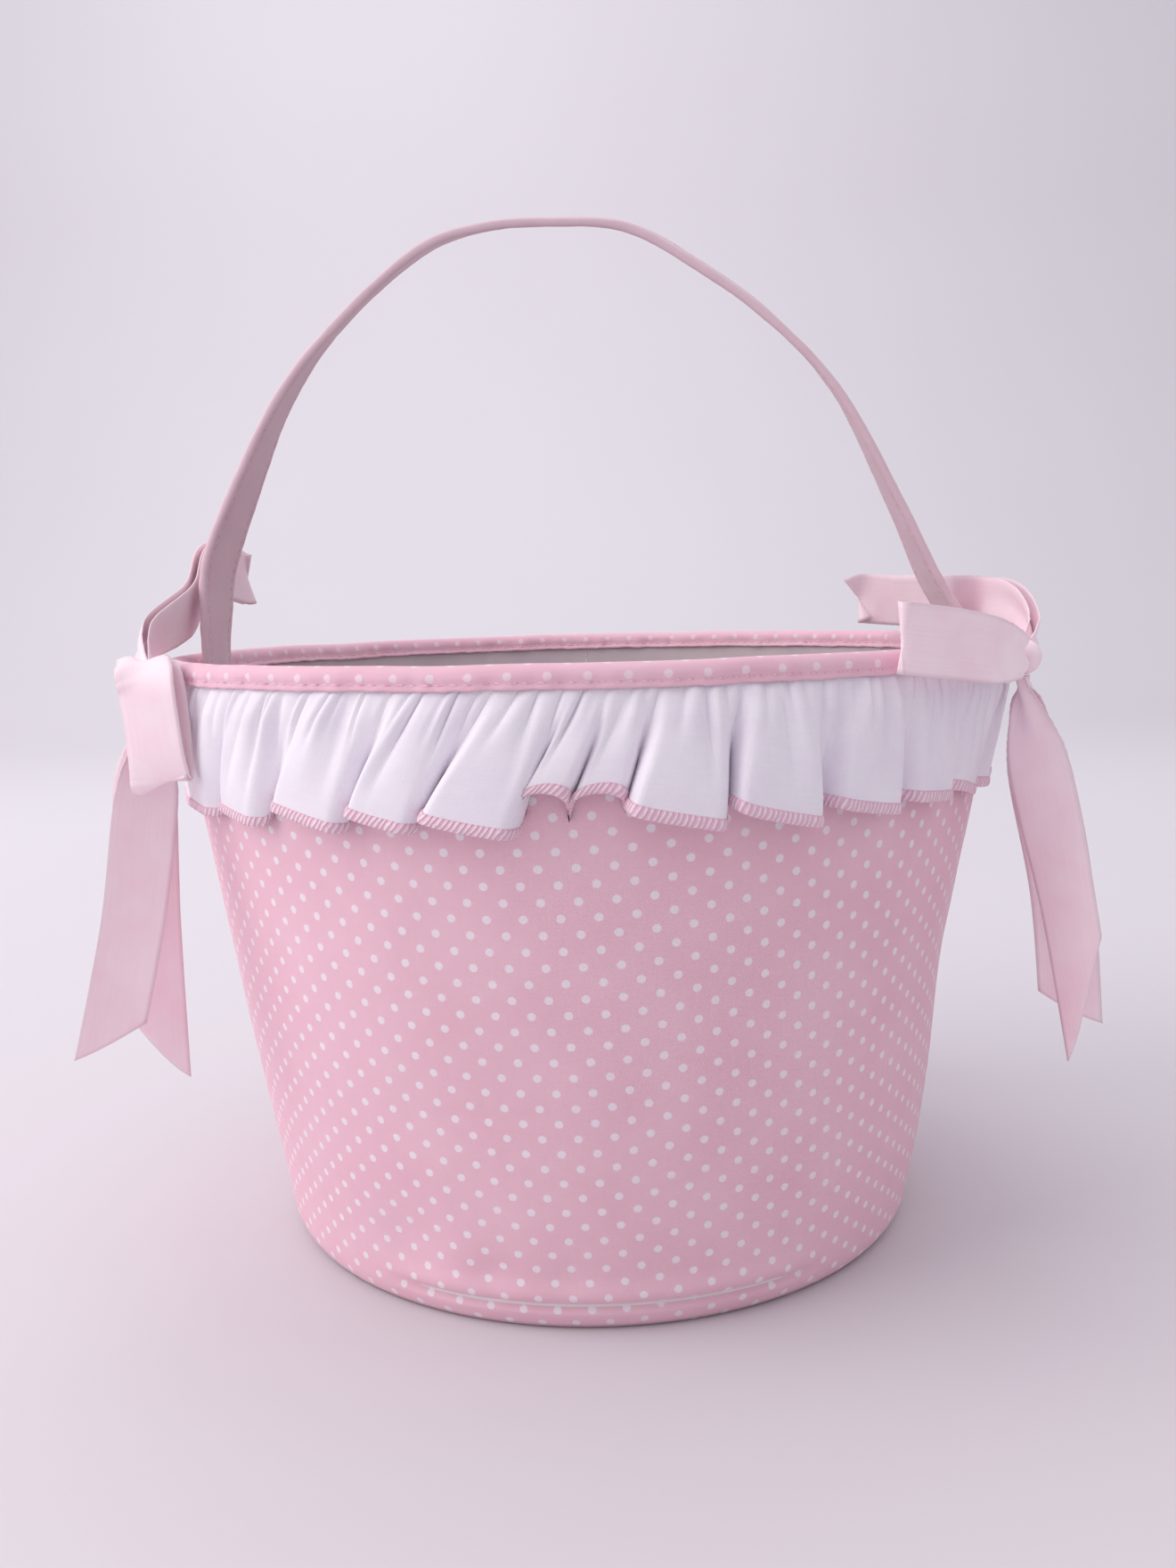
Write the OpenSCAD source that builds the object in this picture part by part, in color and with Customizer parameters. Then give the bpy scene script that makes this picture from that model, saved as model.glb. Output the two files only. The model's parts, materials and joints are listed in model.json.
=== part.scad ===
// Sewn fabric Easter basket: a padded cloth bucket with a bound rim, a gathered ruffle,
// a flat strap handle and a satin bow at each foot of the handle.
// Origin: centre of the base on the floor. +Z up, handle feet on the X axis, front at -Y.

/* [Bucket] */
// Outside diameter across the bound rim
rim_d = 240; // [200:1:300]
// Outside diameter at the floor
base_d = 184; // [150:1:230]
// Height from the floor to the top of the rim
body_h = 165; // [130:1:220]

/* [Cloth layers] */
// Thickness of the printed outer cloth
outer_t = 0.8; // [0.5:0.1:1.5]
// Thickness of the stiffening felt inside the wall
felt_t = 1.6; // [0.8:0.1:3]
// Thickness of the plain lining cloth
lining_t = 0.6; // [0.4:0.1:1.2]
// Thickness of the stiff board in the base
board_t = 2; // [1:0.1:4]
// Width of the seam allowance folded in under the board
allowance_w = 8; // [4:0.5:12]

/* [Rim] */
// Height of the binding folded over the rim
binding_h = 5.5; // [5:0.5:12]
// Thickness of the binding on each side of the wall
binding_t = 0.9; // [0.6:0.1:1.5]
// Thickness of the sewing thread
thread_t = 0.4; // [0.3:0.05:0.6]
// Distance of the topstitching from the binding's lower edge
binding_stitch = 1.5; // [1:0.25:2]

/* [Ruffle] */
// How far the ruffle hangs below the binding
ruffle_drop = 36; // [25:1:60]
// Thickness of the ruffle cloth
ruffle_t = 0.6; // [0.4:0.1:1]
// Thickness of the gathered heading under the binding
heading_t = 1; // [0.6:0.1:2]
// How far the folds stand out from the wall at the hem
ruffle_flare = 11; // [5:0.5:16]
// How far the folds stand out behind the bows
flare_at_bow = 3.5; // [2:0.5:5]
// Gap between the wall and the back of a fold
ruffle_gap = 0.3; // [0.2:0.1:1]
// Number of folds round the basket
fold_count = 46; // [30:1:60]
// Height of the overlocked thread edge on the hem
overlock_h = 3; // [2:0.5:4]

/* [Handle] */
// Width of the strap
strap_w = 25; // [18:1:32]
// Thickness of the finished strap
strap_t = 2.4; // [2:0.1:4]
// Thickness of the interfacing inside the strap
core_t = 1.2; // [0.8:0.1:2]
// Height of the top of the strap above its hinge line
handle_rise = 121; // [90:1:160]
// Depth of the hinge line below the top of the rim
hinge_drop = 2; // [0:0.5:4]
// Width of the folded cloth at each edge of the strap
strap_fold = 1; // [0.6:0.1:1.5]
// Distance of the edge stitching from the strap's edge
stitch_inset = 2.5; // [1.5:0.25:4]
// Thickness of the sewn-down end of the strap
strap_end_t = 1.6; // [1:0.1:2.4]
// Length of the sewn-down end of the strap
strap_end_h = 26; // [20:1:36]
// Distance of the tacking stitches from the edges of the sewn-down end
tack_inset = 2; // [1.5:0.25:3]
// Gap between the swinging strap and its sewn-down ends
swing_gap = 0.6; // [0.4:0.1:1]
// Gap between the sewn-down end and the stitches of the binding behind it
seat_gap = 0.1; // [0.1:0.05:0.3]

/* [Bows] */
// Width of the satin ribbon
ribbon_w = 16; // [10:1:20]
// Thickness of the satin ribbon
ribbon_t = 0.6; // [0.4:0.1:0.8]
// Angle of each bow in front of the handle's foot
bow_turn = 25; // [20:1:30]
// Radius of the wrapped knot
knot_r = 4.5; // [3.5:0.25:6]
// Length of the wrapped knot along the rim
knot_w = 10; // [8:0.5:12]
// Gap between the knot and a swinging tail
tail_gap = 0.5; // [0.3:0.1:1]

/* [Hidden] */
$fn = 96;
LEFT = -1;
RIGHT = 1;

// Wall layers, measured across the wall from its outer face
stack_t = outer_t + felt_t + lining_t;
rim_t = stack_t + heading_t + 2 * binding_t;
wall_top_z = body_h - rim_t / 2;
binding_z = body_h - binding_h;
floor_z = outer_t + board_t + lining_t + outer_t;
// Play that keeps a many-sided ring off the round face it lies on
touch = 0.05;
// How far the seams run up short of the binding
seam_stop = 1;
slope = (rim_d / 2 - binding_t - heading_t - base_d / 2) / body_h;

// Handle and bow places
hinge_z = body_h - hinge_drop;
strap_end_r = min(wall_r(hinge_z - strap_w / 2) - stack_t,
    wall_r(binding_z) - stack_t - binding_t) - strap_end_t - seat_gap;
foot_x = sqrt(pow(strap_end_r, 2) - pow(strap_w / 2, 2)) - swing_gap - strap_t / 2;
bow_z = body_h - knot_r;
bow_r = wall_r(bow_z) + heading_t + binding_t + knot_r;
hem_z = binding_z - ruffle_drop + overlock_h;

PINK = [0.92, 0.76, 0.83];
DEEP_PINK = [0.9, 0.62, 0.72];
SATIN = [0.95, 0.78, 0.85];
WHITE = [0.93, 0.92, 0.95];
LINING = [0.88, 0.86, 0.86];
CARD = [0.75, 0.7, 0.62];

// Radius of the outer face of the wall at height z
function wall_r(z) = base_d / 2 + slope * z;

// Unit vector along v
function unit(v) = v / norm(v);

// Smooth curve through a list of stations, s from 0 to 1
function spline(p, s) =
    let (n = len(p) - 1, i = min(floor(s * n), n - 1), t = s * n - i,
         a = p[max(i - 1, 0)], b = p[i], c = p[i + 1], d = p[min(i + 2, n)])
    0.5 * (2 * b + (c - a) * t + (2 * a - 5 * b + 4 * c - d) * t * t
        + (3 * b - a - 3 * c + d) * t * t * t);

// Cone-shaped layer of the wall between two depths below its outer face
module wall_layer(depth_out, depth_in, z0, z1) {
    rotate_extrude()
        polygon([[wall_r(z0) - depth_in, z0], [wall_r(z0) - depth_out, z0],
            [wall_r(z1) - depth_out, z1], [wall_r(z1) - depth_in, z1]]);
}

// Round plate that fits inside a layer of the wall
module base_disc(depth, z0, z1) {
    rotate_extrude()
        polygon([[0, z0], [wall_r(z0) - depth, z0], [wall_r(z1) - depth, z1], [0, z1]]);
}

// Upright line of thread at the back, flush with a face of the wall at this depth
module seam_thread(depth, z0, z1) {
    translate([0, wall_r(z0) - depth, z0])
        rotate([-atan(slope), 0, 0])
            translate([-thread_t / 2, -thread_t / 2, 0])
                cube([thread_t, thread_t, (z1 - z0) / cos(atan(slope))]);
}

// Frame at each point of a path: [point, width direction, face direction, width]
function frames(path, across, widths) =
    let (n = len(path) - 1)
    [for (i = [0:n])
        let (along = unit(path[min(i + 1, n)] - path[max(i - 1, 0)]),
             side = unit(across[i] - (across[i] * along) * along))
        [path[i], side, cross(along, side), widths[i]]];

// Flat strip swept through a list of frames, from low to high across its thickness
module strip(list, low, high) {
    n = len(list) - 1;
    points = [for (f = list) for (c = [[-1, low], [1, low], [1, high], [-1, high]])
        f[0] + f[1] * c[0] * f[3] / 2 + f[2] * c[1]];
    walls = [for (i = [0:n - 1]) for (k = [0:3])
        let (a = 4 * i + k, b = 4 * i + (k + 1) % 4)
        each [[a, b + 4, b], [a, a + 4, b + 4]]];
    polyhedron(points, concat([[0, 1, 2], [0, 2, 3]], walls,
        [[4 * n + 2, 4 * n + 1, 4 * n], [4 * n + 3, 4 * n + 2, 4 * n]]));
}

// ---- Wall and base ----

module outer_wall() {
    color(PINK) difference() {
        wall_layer(0, outer_t, 0, wall_top_z);
        seam_thread(0, outer_t, binding_z - seam_stop);
    }
}

module wall_felt() {
    color(WHITE) wall_layer(outer_t, outer_t + felt_t, outer_t, wall_top_z);
}

module wall_lining() {
    color(LINING) difference() {
        wall_layer(outer_t + felt_t, stack_t, floor_z - lining_t, wall_top_z);
        seam_thread(stack_t, floor_z, binding_z - seam_stop);
    }
}

module outer_base() {
    color(PINK) base_disc(outer_t, 0, outer_t);
}

module seam_allowance() {
    color(PINK) difference() {
        base_disc(outer_t + felt_t, outer_t, 2 * outer_t);
        translate([0, 0, outer_t / 2])
            cylinder(h = 2 * outer_t, r = base_d / 2 - outer_t - felt_t - allowance_w);
    }
}

module base_board() {
    color(CARD) base_disc(outer_t + felt_t, 2 * outer_t, 2 * outer_t + board_t);
}

module base_lining() {
    color(LINING) base_disc(stack_t, floor_z - lining_t, floor_z);
}

module back_seam_thread() {
    color(PINK) seam_thread(0, outer_t, binding_z - seam_stop);
}

module lining_seam_thread() {
    color(WHITE) seam_thread(stack_t, floor_z, binding_z - seam_stop);
}

// ---- Rim ----

// Rounded rim section: the binding's outline, or its hollow when inset by the cloth
module rim_section(inset) {
    r = rim_t / 2 - inset;
    top = wall_r(wall_top_z) + heading_t + binding_t - rim_t / 2;
    z_low = binding_z - inset;
    low = wall_r(z_low) + heading_t + binding_t - rim_t / 2;
    polygon(concat([[low - r, z_low], [low + r, z_low]],
        [for (a = [0:15:180]) [top + r * cos(a), wall_top_z + r * sin(a)]]));
}

// Two rows of thread let into the faces of the binding
module binding_rows() {
    z = binding_z + binding_stitch;
    for (depth = [-heading_t - binding_t, stack_t + binding_t - thread_t])
        rotate_extrude()
            translate([wall_r(z) - depth - thread_t, z])
                square(thread_t);
}

module rim_binding() {
    color(DEEP_PINK) difference() {
        rotate_extrude() difference() {
            rim_section(0);
            rim_section(binding_t);
        }
        binding_rows();
    }
}

module binding_topstitch() {
    color(WHITE) binding_rows();
}

// ---- Ruffle ----

// Reach of the ruffle from the wall at an angle, at share s of its drop
function fold_reach(a, s) =
    let (bow = max(0, cos(a + bow_turn), cos(a - 180 - bow_turn)),
         most = ruffle_flare + (flare_at_bow - ruffle_flare) * pow(bow, 6),
         wave = 0.5 + 0.42 * sin(fold_count * a + 40 * sin(5 * a)) + 0.08 * sin(7 * a))
    most * wave * pow(s, 0.8);

// Height of the hem, which rises where a fold stands out
function hem_lift(a) = 0.25 * fold_reach(a, 1);

// Closed ring of folds; each row is [share of the drop, extra drop, gap to the wall, thickness]
module skirt(rows) {
    steps = 6 * fold_count;
    n = len(rows);
    ring = [for (row = rows) for (i = [0:steps - 1])
        let (a = 360 * i / steps, s = row[0],
             z = binding_z - s * (binding_z - hem_z) + s * s * hem_lift(a) - row[1],
             r = wall_r(z) + row[2] + fold_reach(a, s))
        [r, r + row[3], z, a]];
    inner = [for (p = ring) [p[0] * cos(p[3]), p[0] * sin(p[3]), p[2]]];
    outer = [for (p = ring) [p[1] * cos(p[3]), p[1] * sin(p[3]), p[2]]];
    m = n * steps;
    faces = [for (i = [0:steps - 1]) let (j = (i + 1) % steps) each concat(
        [for (k = [0:n - 2]) let (a = k * steps + i, b = k * steps + j) each [
            [a, b, b + steps], [a, b + steps, a + steps],
            [m + a, m + b + steps, m + b], [m + a, m + a + steps, m + b + steps]]],
        [[i, m + j, j], [i, m + i, m + j],
            [m - steps + i, m - steps + j, 2 * m - steps + j],
            [m - steps + i, 2 * m - steps + j, 2 * m - steps + i]])];
    polyhedron(concat(inner, outer), faces);
}

module ruffle() {
    heading = [touch, heading_t - 2 * touch];
    color(WHITE) skirt(concat(
        [[0, binding_z - wall_top_z, heading[0], heading[1]], [0, 0, heading[0], heading[1]]],
        [for (s = [0.1, 0.4, 0.7, 1]) [s, 0, ruffle_gap, ruffle_t]]));
}

module ruffle_overlock() {
    color(DEEP_PINK)
        skirt([for (drop = [0, overlock_h]) [1, drop, ruffle_gap, ruffle_t]]);
}

// ---- Handle ----

// Stations along the strap: share of the foot distance, share of the rise, twist
STRAP = [[-1, 0, 0], [-1, 0.03, 0], [-0.995, 0.1, -2], [-0.98, 0.22, -5], [-0.92, 0.36, -3],
    [-0.79, 0.6, 5], [-0.64, 0.77, 11], [-0.42, 0.935, 12], [-0.25, 0.99, 14],
    [-0.06, 1, 15], [0.13, 0.985, 15], [0.3, 0.905, 15], [0.5, 0.775, 14], [0.68, 0.6, 11],
    [0.83, 0.345, 6], [0.925, 0.16, 2], [0.99, 0.06, 0], [1, 0.03, 0],
    [1, 0, 0]];
strap_steps = 54;

function strap_station(i) = spline(STRAP, i / strap_steps);
function strap_point(i) =
    let (s = strap_station(i)) [s[0] * foot_x, 0, hinge_z + s[1] * handle_rise];

// Width direction of the strap: Y turned by the twist towards the strap's outer face
function strap_across(i) =
    let (along = unit(strap_point(min(i + 1, strap_steps)) - strap_point(max(i - 1, 0))),
         out = cross(along, [0, 1, 0]), twist = strap_station(i)[2])
    cos(twist) * [0, 1, 0] + sin(twist) * out;

// Frames of a strip of this width, shifted sideways, with its ends carried down by extra
function strap_frames(w, shift = 0, extra = 0) =
    let (n = strap_steps,
         path = [for (i = [0:n]) strap_point(i) - [0, 0, i == 0 || i == n ? extra : 0]],
         across = [for (i = [0:n]) strap_across(i)])
    [for (f = frames(path, across, [for (i = [0:n]) w]))
        [f[0] + f[1] * shift, f[1], f[2], f[3]]];

module handle_filling(extra = 0) {
    strip(strap_frames(strap_w - 2 * strap_fold, extra = extra), -core_t / 2, core_t / 2);
}

module handle_strap() {
    color(PINK) difference() {
        strip(strap_frames(strap_w), -strap_t / 2, strap_t / 2);
        handle_filling(extra = 1);
    }
}

module handle_core() {
    color(WHITE) handle_filling();
}

// Two rows of thread on both faces, sunk halfway into the cloth
module handle_topstitch() {
    color(WHITE)
        for (row = [-1, 1], face = [-1, 1]) {
            middle = face * strap_t / 2;
            strip(strap_frames(thread_t, row * (strap_w / 2 - stitch_inset)),
                middle - thread_t / 2, middle + thread_t / 2);
        }
}

// Rounded foot of the strap below the hinge line, where the cloth flexes
module strap_foot(side) {
    translate([side * foot_x, 0, hinge_z])
        rotate([0, 90, 0])
            intersection() {
                cylinder(h = strap_t, r = strap_w / 2, center = true);
                translate([0, -strap_w / 2, -strap_t / 2])
                    cube([strap_w / 2, strap_w, strap_t]);
            }
}

module strap_foot_left() { color(PINK) strap_foot(LEFT); }
module strap_foot_right() { color(PINK) strap_foot(RIGHT); }

// Block that keeps only the part of a ring that lies on one foot of the handle
module foot_block(side, w, z0, z1) {
    translate([side > 0 ? 0 : -rim_d, -w / 2, z0])
        cube([rim_d, w, z1 - z0]);
}

// Box of stitches that holds the strap end to the lining
module tack(side) {
    z0 = body_h - strap_end_h + tack_inset;
    z1 = binding_z - strap_end_t - tack_inset;
    w = strap_w - 2 * tack_inset;
    intersection() {
        wall_layer(stack_t + strap_end_t - thread_t, stack_t + strap_end_t, z0, z1);
        difference() {
            foot_block(side, w, z0, z1);
            foot_block(side, w - 2 * thread_t, z0 + thread_t, z1 - thread_t);
        }
    }
}

// End of the strap, sewn flat to the lining and over the inner side of the binding
module strap_end(side) {
    low = body_h - strap_end_h;
    difference() {
        intersection() {
            union() {
                wall_layer(stack_t, stack_t + strap_end_t, low, binding_z);
                wall_layer(stack_t + binding_t + seat_gap,
                    stack_t + binding_t + seat_gap + strap_end_t,
                    binding_z - strap_end_t, wall_top_z);
            }
            foot_block(side, strap_w, low, wall_top_z);
        }
        tack(side);
    }
}

module strap_end_left() { color(PINK) strap_end(LEFT); }
module strap_end_right() { color(PINK) strap_end(RIGHT); }
module strap_tack_left() { color(WHITE) tack(LEFT); }
module strap_tack_right() { color(WHITE) tack(RIGHT); }

// ---- Bows ----

// Directions of a bow: along the rim towards the front, and straight out from the rim
function bow_along(side) = [-side * sin(bow_turn), -cos(bow_turn), 0];
function bow_out(side) = [side * cos(bow_turn), -sin(bow_turn), 0];
function bow_turned(side, v) = v[0] * bow_along(side) + v[1] * bow_out(side) + [0, 0, v[2]];
function bow_point(side, p) = bow_turned(side, p) + bow_r * bow_out(side) + [0, 0, bow_z];

// A ribbon station is [along, out, up, then its width direction, then share of full width]
function station_point(s) = [s[0], s[1], s[2]];
function station_across(s) = [s[3], s[4], s[5]];

// Flat ribbon through its stations
module ribbon(side, stations, steps) {
    list = [for (i = [0:steps]) spline(stations, i / steps)];
    strip(frames([for (s = list) bow_point(side, station_point(s))],
        [for (s = list) bow_turned(side, station_across(s))],
        [for (s = list) s[6] * ribbon_w]), -ribbon_t / 2, ribbon_t / 2);
}

// Ribbon that runs out along its stations and back again, puffed open between
module ribbon_loop(side, stations, puff, steps) {
    open = 24;
    n = len(stations) - 1;
    mid = [for (i = [0:steps])
        let (a = open + (360 - 2 * open) * i / steps, share = (1 - cos(a)) / 2,
             s = spline(stations, share),
             along = unit(station_point(spline(stations, min(share + 0.02, 1)))
                 - station_point(spline(stations, max(share - 0.02, 0)))),
             out = unit(cross(along, station_across(s))))
        [station_point(s) + puff * sin(a) * out, station_across(s), s[6]]];
    strip(frames([for (m = mid) bow_point(side, m[0])],
        [for (m = mid) bow_turned(side, m[1])],
        [for (m = mid) m[2] * ribbon_w]), -ribbon_t / 2, ribbon_t / 2);
}

LOOP_STEPS = 40;
TAIL_STEPS = 20;
// Half the length of a knot, where the loops leave it
k = knot_w / 2;
// Distance below the knot's middle where the tails start
tail_top = knot_r + tail_gap;

LEFT_FRONT_LOOP = [[k, 1.5, 0.5, 0.2, -0.9, 0.2, 0.4], [k + 5, 3.2, 4, 0.5, -0.8, 0, 0.7],
    [k + 11, 2.4, 0, 0.69, -0.72, 0, 1], [k + 12, 1.6, -9, 0.69, -0.72, 0.1, 1],
    [k + 12, 1.2, -18, 0.65, -0.7, 0.25, 1], [k + 11, 0.8, -25, 0.6, -0.65, 0.4, 1]];
LEFT_BACK_LOOP = [[-k, 0, 0, 0, 0, 1, 0.5], [-20, -1.5, 9, 0.3, -0.2, 0.9, 0.85],
    [-40.5, -17, 17.5, 0.3, -0.1, 0.95, 1], [-55, -25.5, 29, 0.5, 0.15, 0.85, 1],
    [-75, -41.5, 26.5, 0.3, 0.2, 0.93, 1]];
RIGHT_FRONT_LOOP = [[k, 0, -0.5, 0, 0, 1, 0.5], [k + 12, 0, 1, 0, 0, 1, 0.75],
    [34, -3, 3, 0, 0, 1, 1], [51, -9, 5.5, -0.1, 0, 1, 1], [66, -17, 7.5, -0.2, 0, 1, 1]];
RIGHT_BACK_LOOP = [[-k, 0, 0, 0, 0, 1, 0.5], [-18, 0, 5, 0, 0, 1, 0.85],
    [-30, -7, 13.5, 0, 0, 1, 1], [-43, -18, 14, 0, 0, 1, 1], [-69, -33.5, 14.5, 0, 0, 1, 1],
    [-84, -50, 15, 0, 0, 1, 1], [-89, -68, 15.5, 0.1, -0.1, 1, 1]];
LEFT_FRONT_TAIL = [[2.5, 0, -tail_top, 1, 0, 0, 0.25], [3, 1, -15, 0.35, 0.94, 0, 0.6],
    [3.5, 3.5, -30, 0.05, 1, 0, 1], [4, 9, -62, 0, 1, 0.1, 1], [4, 18, -98, 0, 1, 0.1, 1]];
LEFT_BACK_TAIL = [[-2.5, 0, -tail_top, 1, 0, 0, 0.25], [-3, 1, -15, -0.35, 0.94, 0, 0.6],
    [-3.5, 3, -30, -0.05, 1, 0, 1], [-4, 4, -65, 0, 1, 0, 1], [-4, 4, -108, 0, 1, 0, 1]];
RIGHT_FRONT_TAIL = [[2.5, 0, -tail_top, 1, 0, 0, 0.25], [3, 1.5, -15, 0.35, 0.94, 0, 0.6],
    [4, 5, -29, 0.2, 0.98, 0, 1], [6.5, 12.5, -62, 0.4, 0.9, 0.1, 1],
    [7, 20, -104, 0.5, 0.85, 0.1, 1]];
RIGHT_BACK_TAIL = [[-2.5, 0, -tail_top, 1, 0, 0, 0.25], [-3, 1, -15, -0.35, 0.94, 0, 0.6],
    [-3.5, 4, -30, -0.05, 1, 0, 1], [-5, 10, -62, -0.2, 1, 0, 1], [-5.5, 13, -98, -0.3, 1, 0, 1]];

// Ribbon wrapped round the middle of the bow: a barrel lying along the rim
module knot(side) {
    rounding = 1;
    taper = 2;
    translate(bow_point(side, [0, 0, 0]))
        rotate([0, 0, side > 0 ? -bow_turn : bow_turn])
            rotate([90, 0, 0])
                rotate_extrude()
                    polygon([[0, -k], [knot_r - rounding, -k], [knot_r, taper - k],
                        [knot_r, k - taper], [knot_r - rounding, k], [0, k]]);
}

module bow_left_knot() { color(SATIN) knot(LEFT); }
module bow_right_knot() { color(SATIN) knot(RIGHT); }
module bow_left_loop_front() {
    color(SATIN) difference() {
        ribbon_loop(LEFT, LEFT_FRONT_LOOP, 2.2, LOOP_STEPS);
        knot(LEFT);
    }
}
module bow_left_loop_back() {
    color(SATIN) difference() {
        ribbon_loop(LEFT, LEFT_BACK_LOOP, 1.2, LOOP_STEPS);
        knot(LEFT);
    }
}
module bow_right_loop_front() {
    color(SATIN) difference() {
        ribbon_loop(RIGHT, RIGHT_FRONT_LOOP, 2.5, LOOP_STEPS);
        knot(RIGHT);
    }
}
module bow_right_loop_back() {
    color(SATIN) difference() {
        ribbon_loop(RIGHT, RIGHT_BACK_LOOP, 1.2, LOOP_STEPS);
        knot(RIGHT);
    }
}
module tail_left_front() { color(SATIN) ribbon(LEFT, LEFT_FRONT_TAIL, TAIL_STEPS); }
module tail_left_back() { color(SATIN) ribbon(LEFT, LEFT_BACK_TAIL, TAIL_STEPS); }
module tail_right_front() { color(SATIN) ribbon(RIGHT, RIGHT_FRONT_TAIL, TAIL_STEPS); }
module tail_right_back() { color(SATIN) ribbon(RIGHT, RIGHT_BACK_TAIL, TAIL_STEPS); }

outer_wall();
wall_felt();
wall_lining();
outer_base();
seam_allowance();
base_board();
base_lining();
back_seam_thread();
lining_seam_thread();
rim_binding();
binding_topstitch();
ruffle();
ruffle_overlock();
handle_strap();
handle_core();
handle_topstitch();
strap_foot_left();
strap_foot_right();
strap_end_left();
strap_end_right();
strap_tack_left();
strap_tack_right();
bow_left_knot();
bow_left_loop_front();
bow_left_loop_back();
bow_right_knot();
bow_right_loop_front();
bow_right_loop_back();
tail_left_front();
tail_left_back();
tail_right_front();
tail_right_back();
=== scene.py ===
# A sewn fabric Easter basket: a padded dotted cloth bucket with a bound rim, a gathered white
# ruffle, a flat strap handle and a satin ribbon bow by each foot of the handle.
# Lengths in the functions are millimetres; MM turns them into Blender's metres.
import bisect
import json
import math
import random

import bpy
from mathutils import Matrix, Vector, noise


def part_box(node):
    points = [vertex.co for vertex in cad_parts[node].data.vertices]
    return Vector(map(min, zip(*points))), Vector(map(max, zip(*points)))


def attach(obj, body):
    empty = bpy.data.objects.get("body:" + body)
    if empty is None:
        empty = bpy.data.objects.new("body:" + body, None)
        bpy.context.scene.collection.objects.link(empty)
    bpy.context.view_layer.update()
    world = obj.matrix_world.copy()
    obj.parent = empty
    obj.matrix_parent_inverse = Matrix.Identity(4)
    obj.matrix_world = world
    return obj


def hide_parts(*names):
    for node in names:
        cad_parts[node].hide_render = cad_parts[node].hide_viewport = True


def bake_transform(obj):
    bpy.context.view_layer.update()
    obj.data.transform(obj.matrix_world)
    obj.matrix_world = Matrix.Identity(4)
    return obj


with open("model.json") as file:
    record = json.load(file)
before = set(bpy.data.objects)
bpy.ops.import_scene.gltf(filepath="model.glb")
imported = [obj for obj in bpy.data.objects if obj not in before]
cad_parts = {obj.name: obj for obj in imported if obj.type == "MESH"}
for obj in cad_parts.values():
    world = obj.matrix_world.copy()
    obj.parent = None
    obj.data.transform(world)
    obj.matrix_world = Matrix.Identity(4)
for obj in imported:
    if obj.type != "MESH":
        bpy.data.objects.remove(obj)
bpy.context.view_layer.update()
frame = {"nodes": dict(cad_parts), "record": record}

MM = 0.001
TURN = 2 * math.pi
LEFT, RIGHT = -1, 1

# ---- Sizes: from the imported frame, then the cloths' own thicknesses and widths ----

wall_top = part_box("outer_wall")[1]
base_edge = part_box("outer_base")[1]
SLOPE = (wall_top[0] - base_edge[0]) / (wall_top[2] - base_edge[2])
BASE_R = (base_edge[0] - SLOPE * base_edge[2]) / MM
RIM_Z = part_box("rim_binding")[1][2] / MM
BINDING_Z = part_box("rim_binding")[0][2] / MM
FLOOR_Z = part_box("base_lining")[1][2] / MM
STRAP_END_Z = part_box("strap_end_right")[0][2] / MM
FOOT_X = sum(corner[0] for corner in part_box("strap_foot_right")) / 2 / MM
JOINTS = {joint["name"]: joint for joint in frame["record"]["behaviour"]["joints"]}
HINGE_Z = JOINTS["handle_swing"]["pos_m"][2] / MM
KNOT = {LEFT: JOINTS["tail_left_front_swing"]["pos_m"],
        RIGHT: JOINTS["tail_right_front_swing"]["pos_m"]}
OUTER_T, FELT_T, LINING_T = 0.8, 1.6, 0.6
STACK_T = OUTER_T + FELT_T + LINING_T
HEADING_T, BINDING_T = 1.0, 0.9
RISE = 121.0
RIBBON_W, RIBBON_T = 16.0, 0.3
KNOT_R = 4.5


def wall_r(z):
    """Outer radius of the plain cone at height z"""
    return BASE_R + SLOPE * z


def ease(low, high, value):
    """Soft step from 0 at low to 1 at high"""
    t = min(max((value - low) / (high - low), 0), 1)
    return t * t * (3 - 2 * t)


def bump_at(value, middle, width):
    """Soft hump of height 1 round middle"""
    return math.exp(-((value - middle) / width) ** 2)


def grain(a, b, c):
    """Smooth noise between about -1 and 1"""
    return noise.noise(Vector((a, b, c)))


def turned(t, r, z):
    """Point at angle t from the front, positive to the right"""
    return Vector((r * math.sin(t), -r * math.cos(t), z))


# ---- Building cloth ----

def cloth(name, cols, rows, place, lay, ring=False):
    """Sheet of cloth on a grid: place(u, v) is where it hangs, lay(u, v) where it lay when flat"""
    wide = cols if ring else cols + 1
    points = [place(i / cols, j / rows) * MM for j in range(rows + 1) for i in range(wide)]
    faces = []
    flat = []
    for j in range(rows):
        for i in range(cols):
            corners = ((i, j), (i + 1, j), (i + 1, j + 1), (i, j + 1))
            faces.append([y * wide + x % wide for x, y in corners])
            for x, y in corners:
                flat.extend(lay(x / cols, y / rows))
    mesh = bpy.data.meshes.new(name)
    mesh.from_pydata(points, [], faces)
    mesh.uv_layers.new(name="flat").data.foreach_set("uv", flat)
    mesh.shade_smooth()
    piece = bpy.data.objects.new(name, mesh)
    bpy.context.collection.objects.link(piece)
    return piece


def only(piece):
    """Makes one piece the only selected and active one"""
    bpy.ops.object.select_all(action="DESELECT")
    piece.select_set(True)
    bpy.context.view_layer.objects.active = piece


def thicken(piece, thickness, offset=-1):
    """Gives a sheet its real thickness; -1 grows it inwards"""
    only(piece)
    wall = piece.modifiers.new("thickness", "SOLIDIFY")
    wall.thickness = thickness * MM
    wall.offset = offset
    wall.use_rim = True
    bpy.ops.object.modifier_apply(modifier=wall.name)
    return piece


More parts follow.
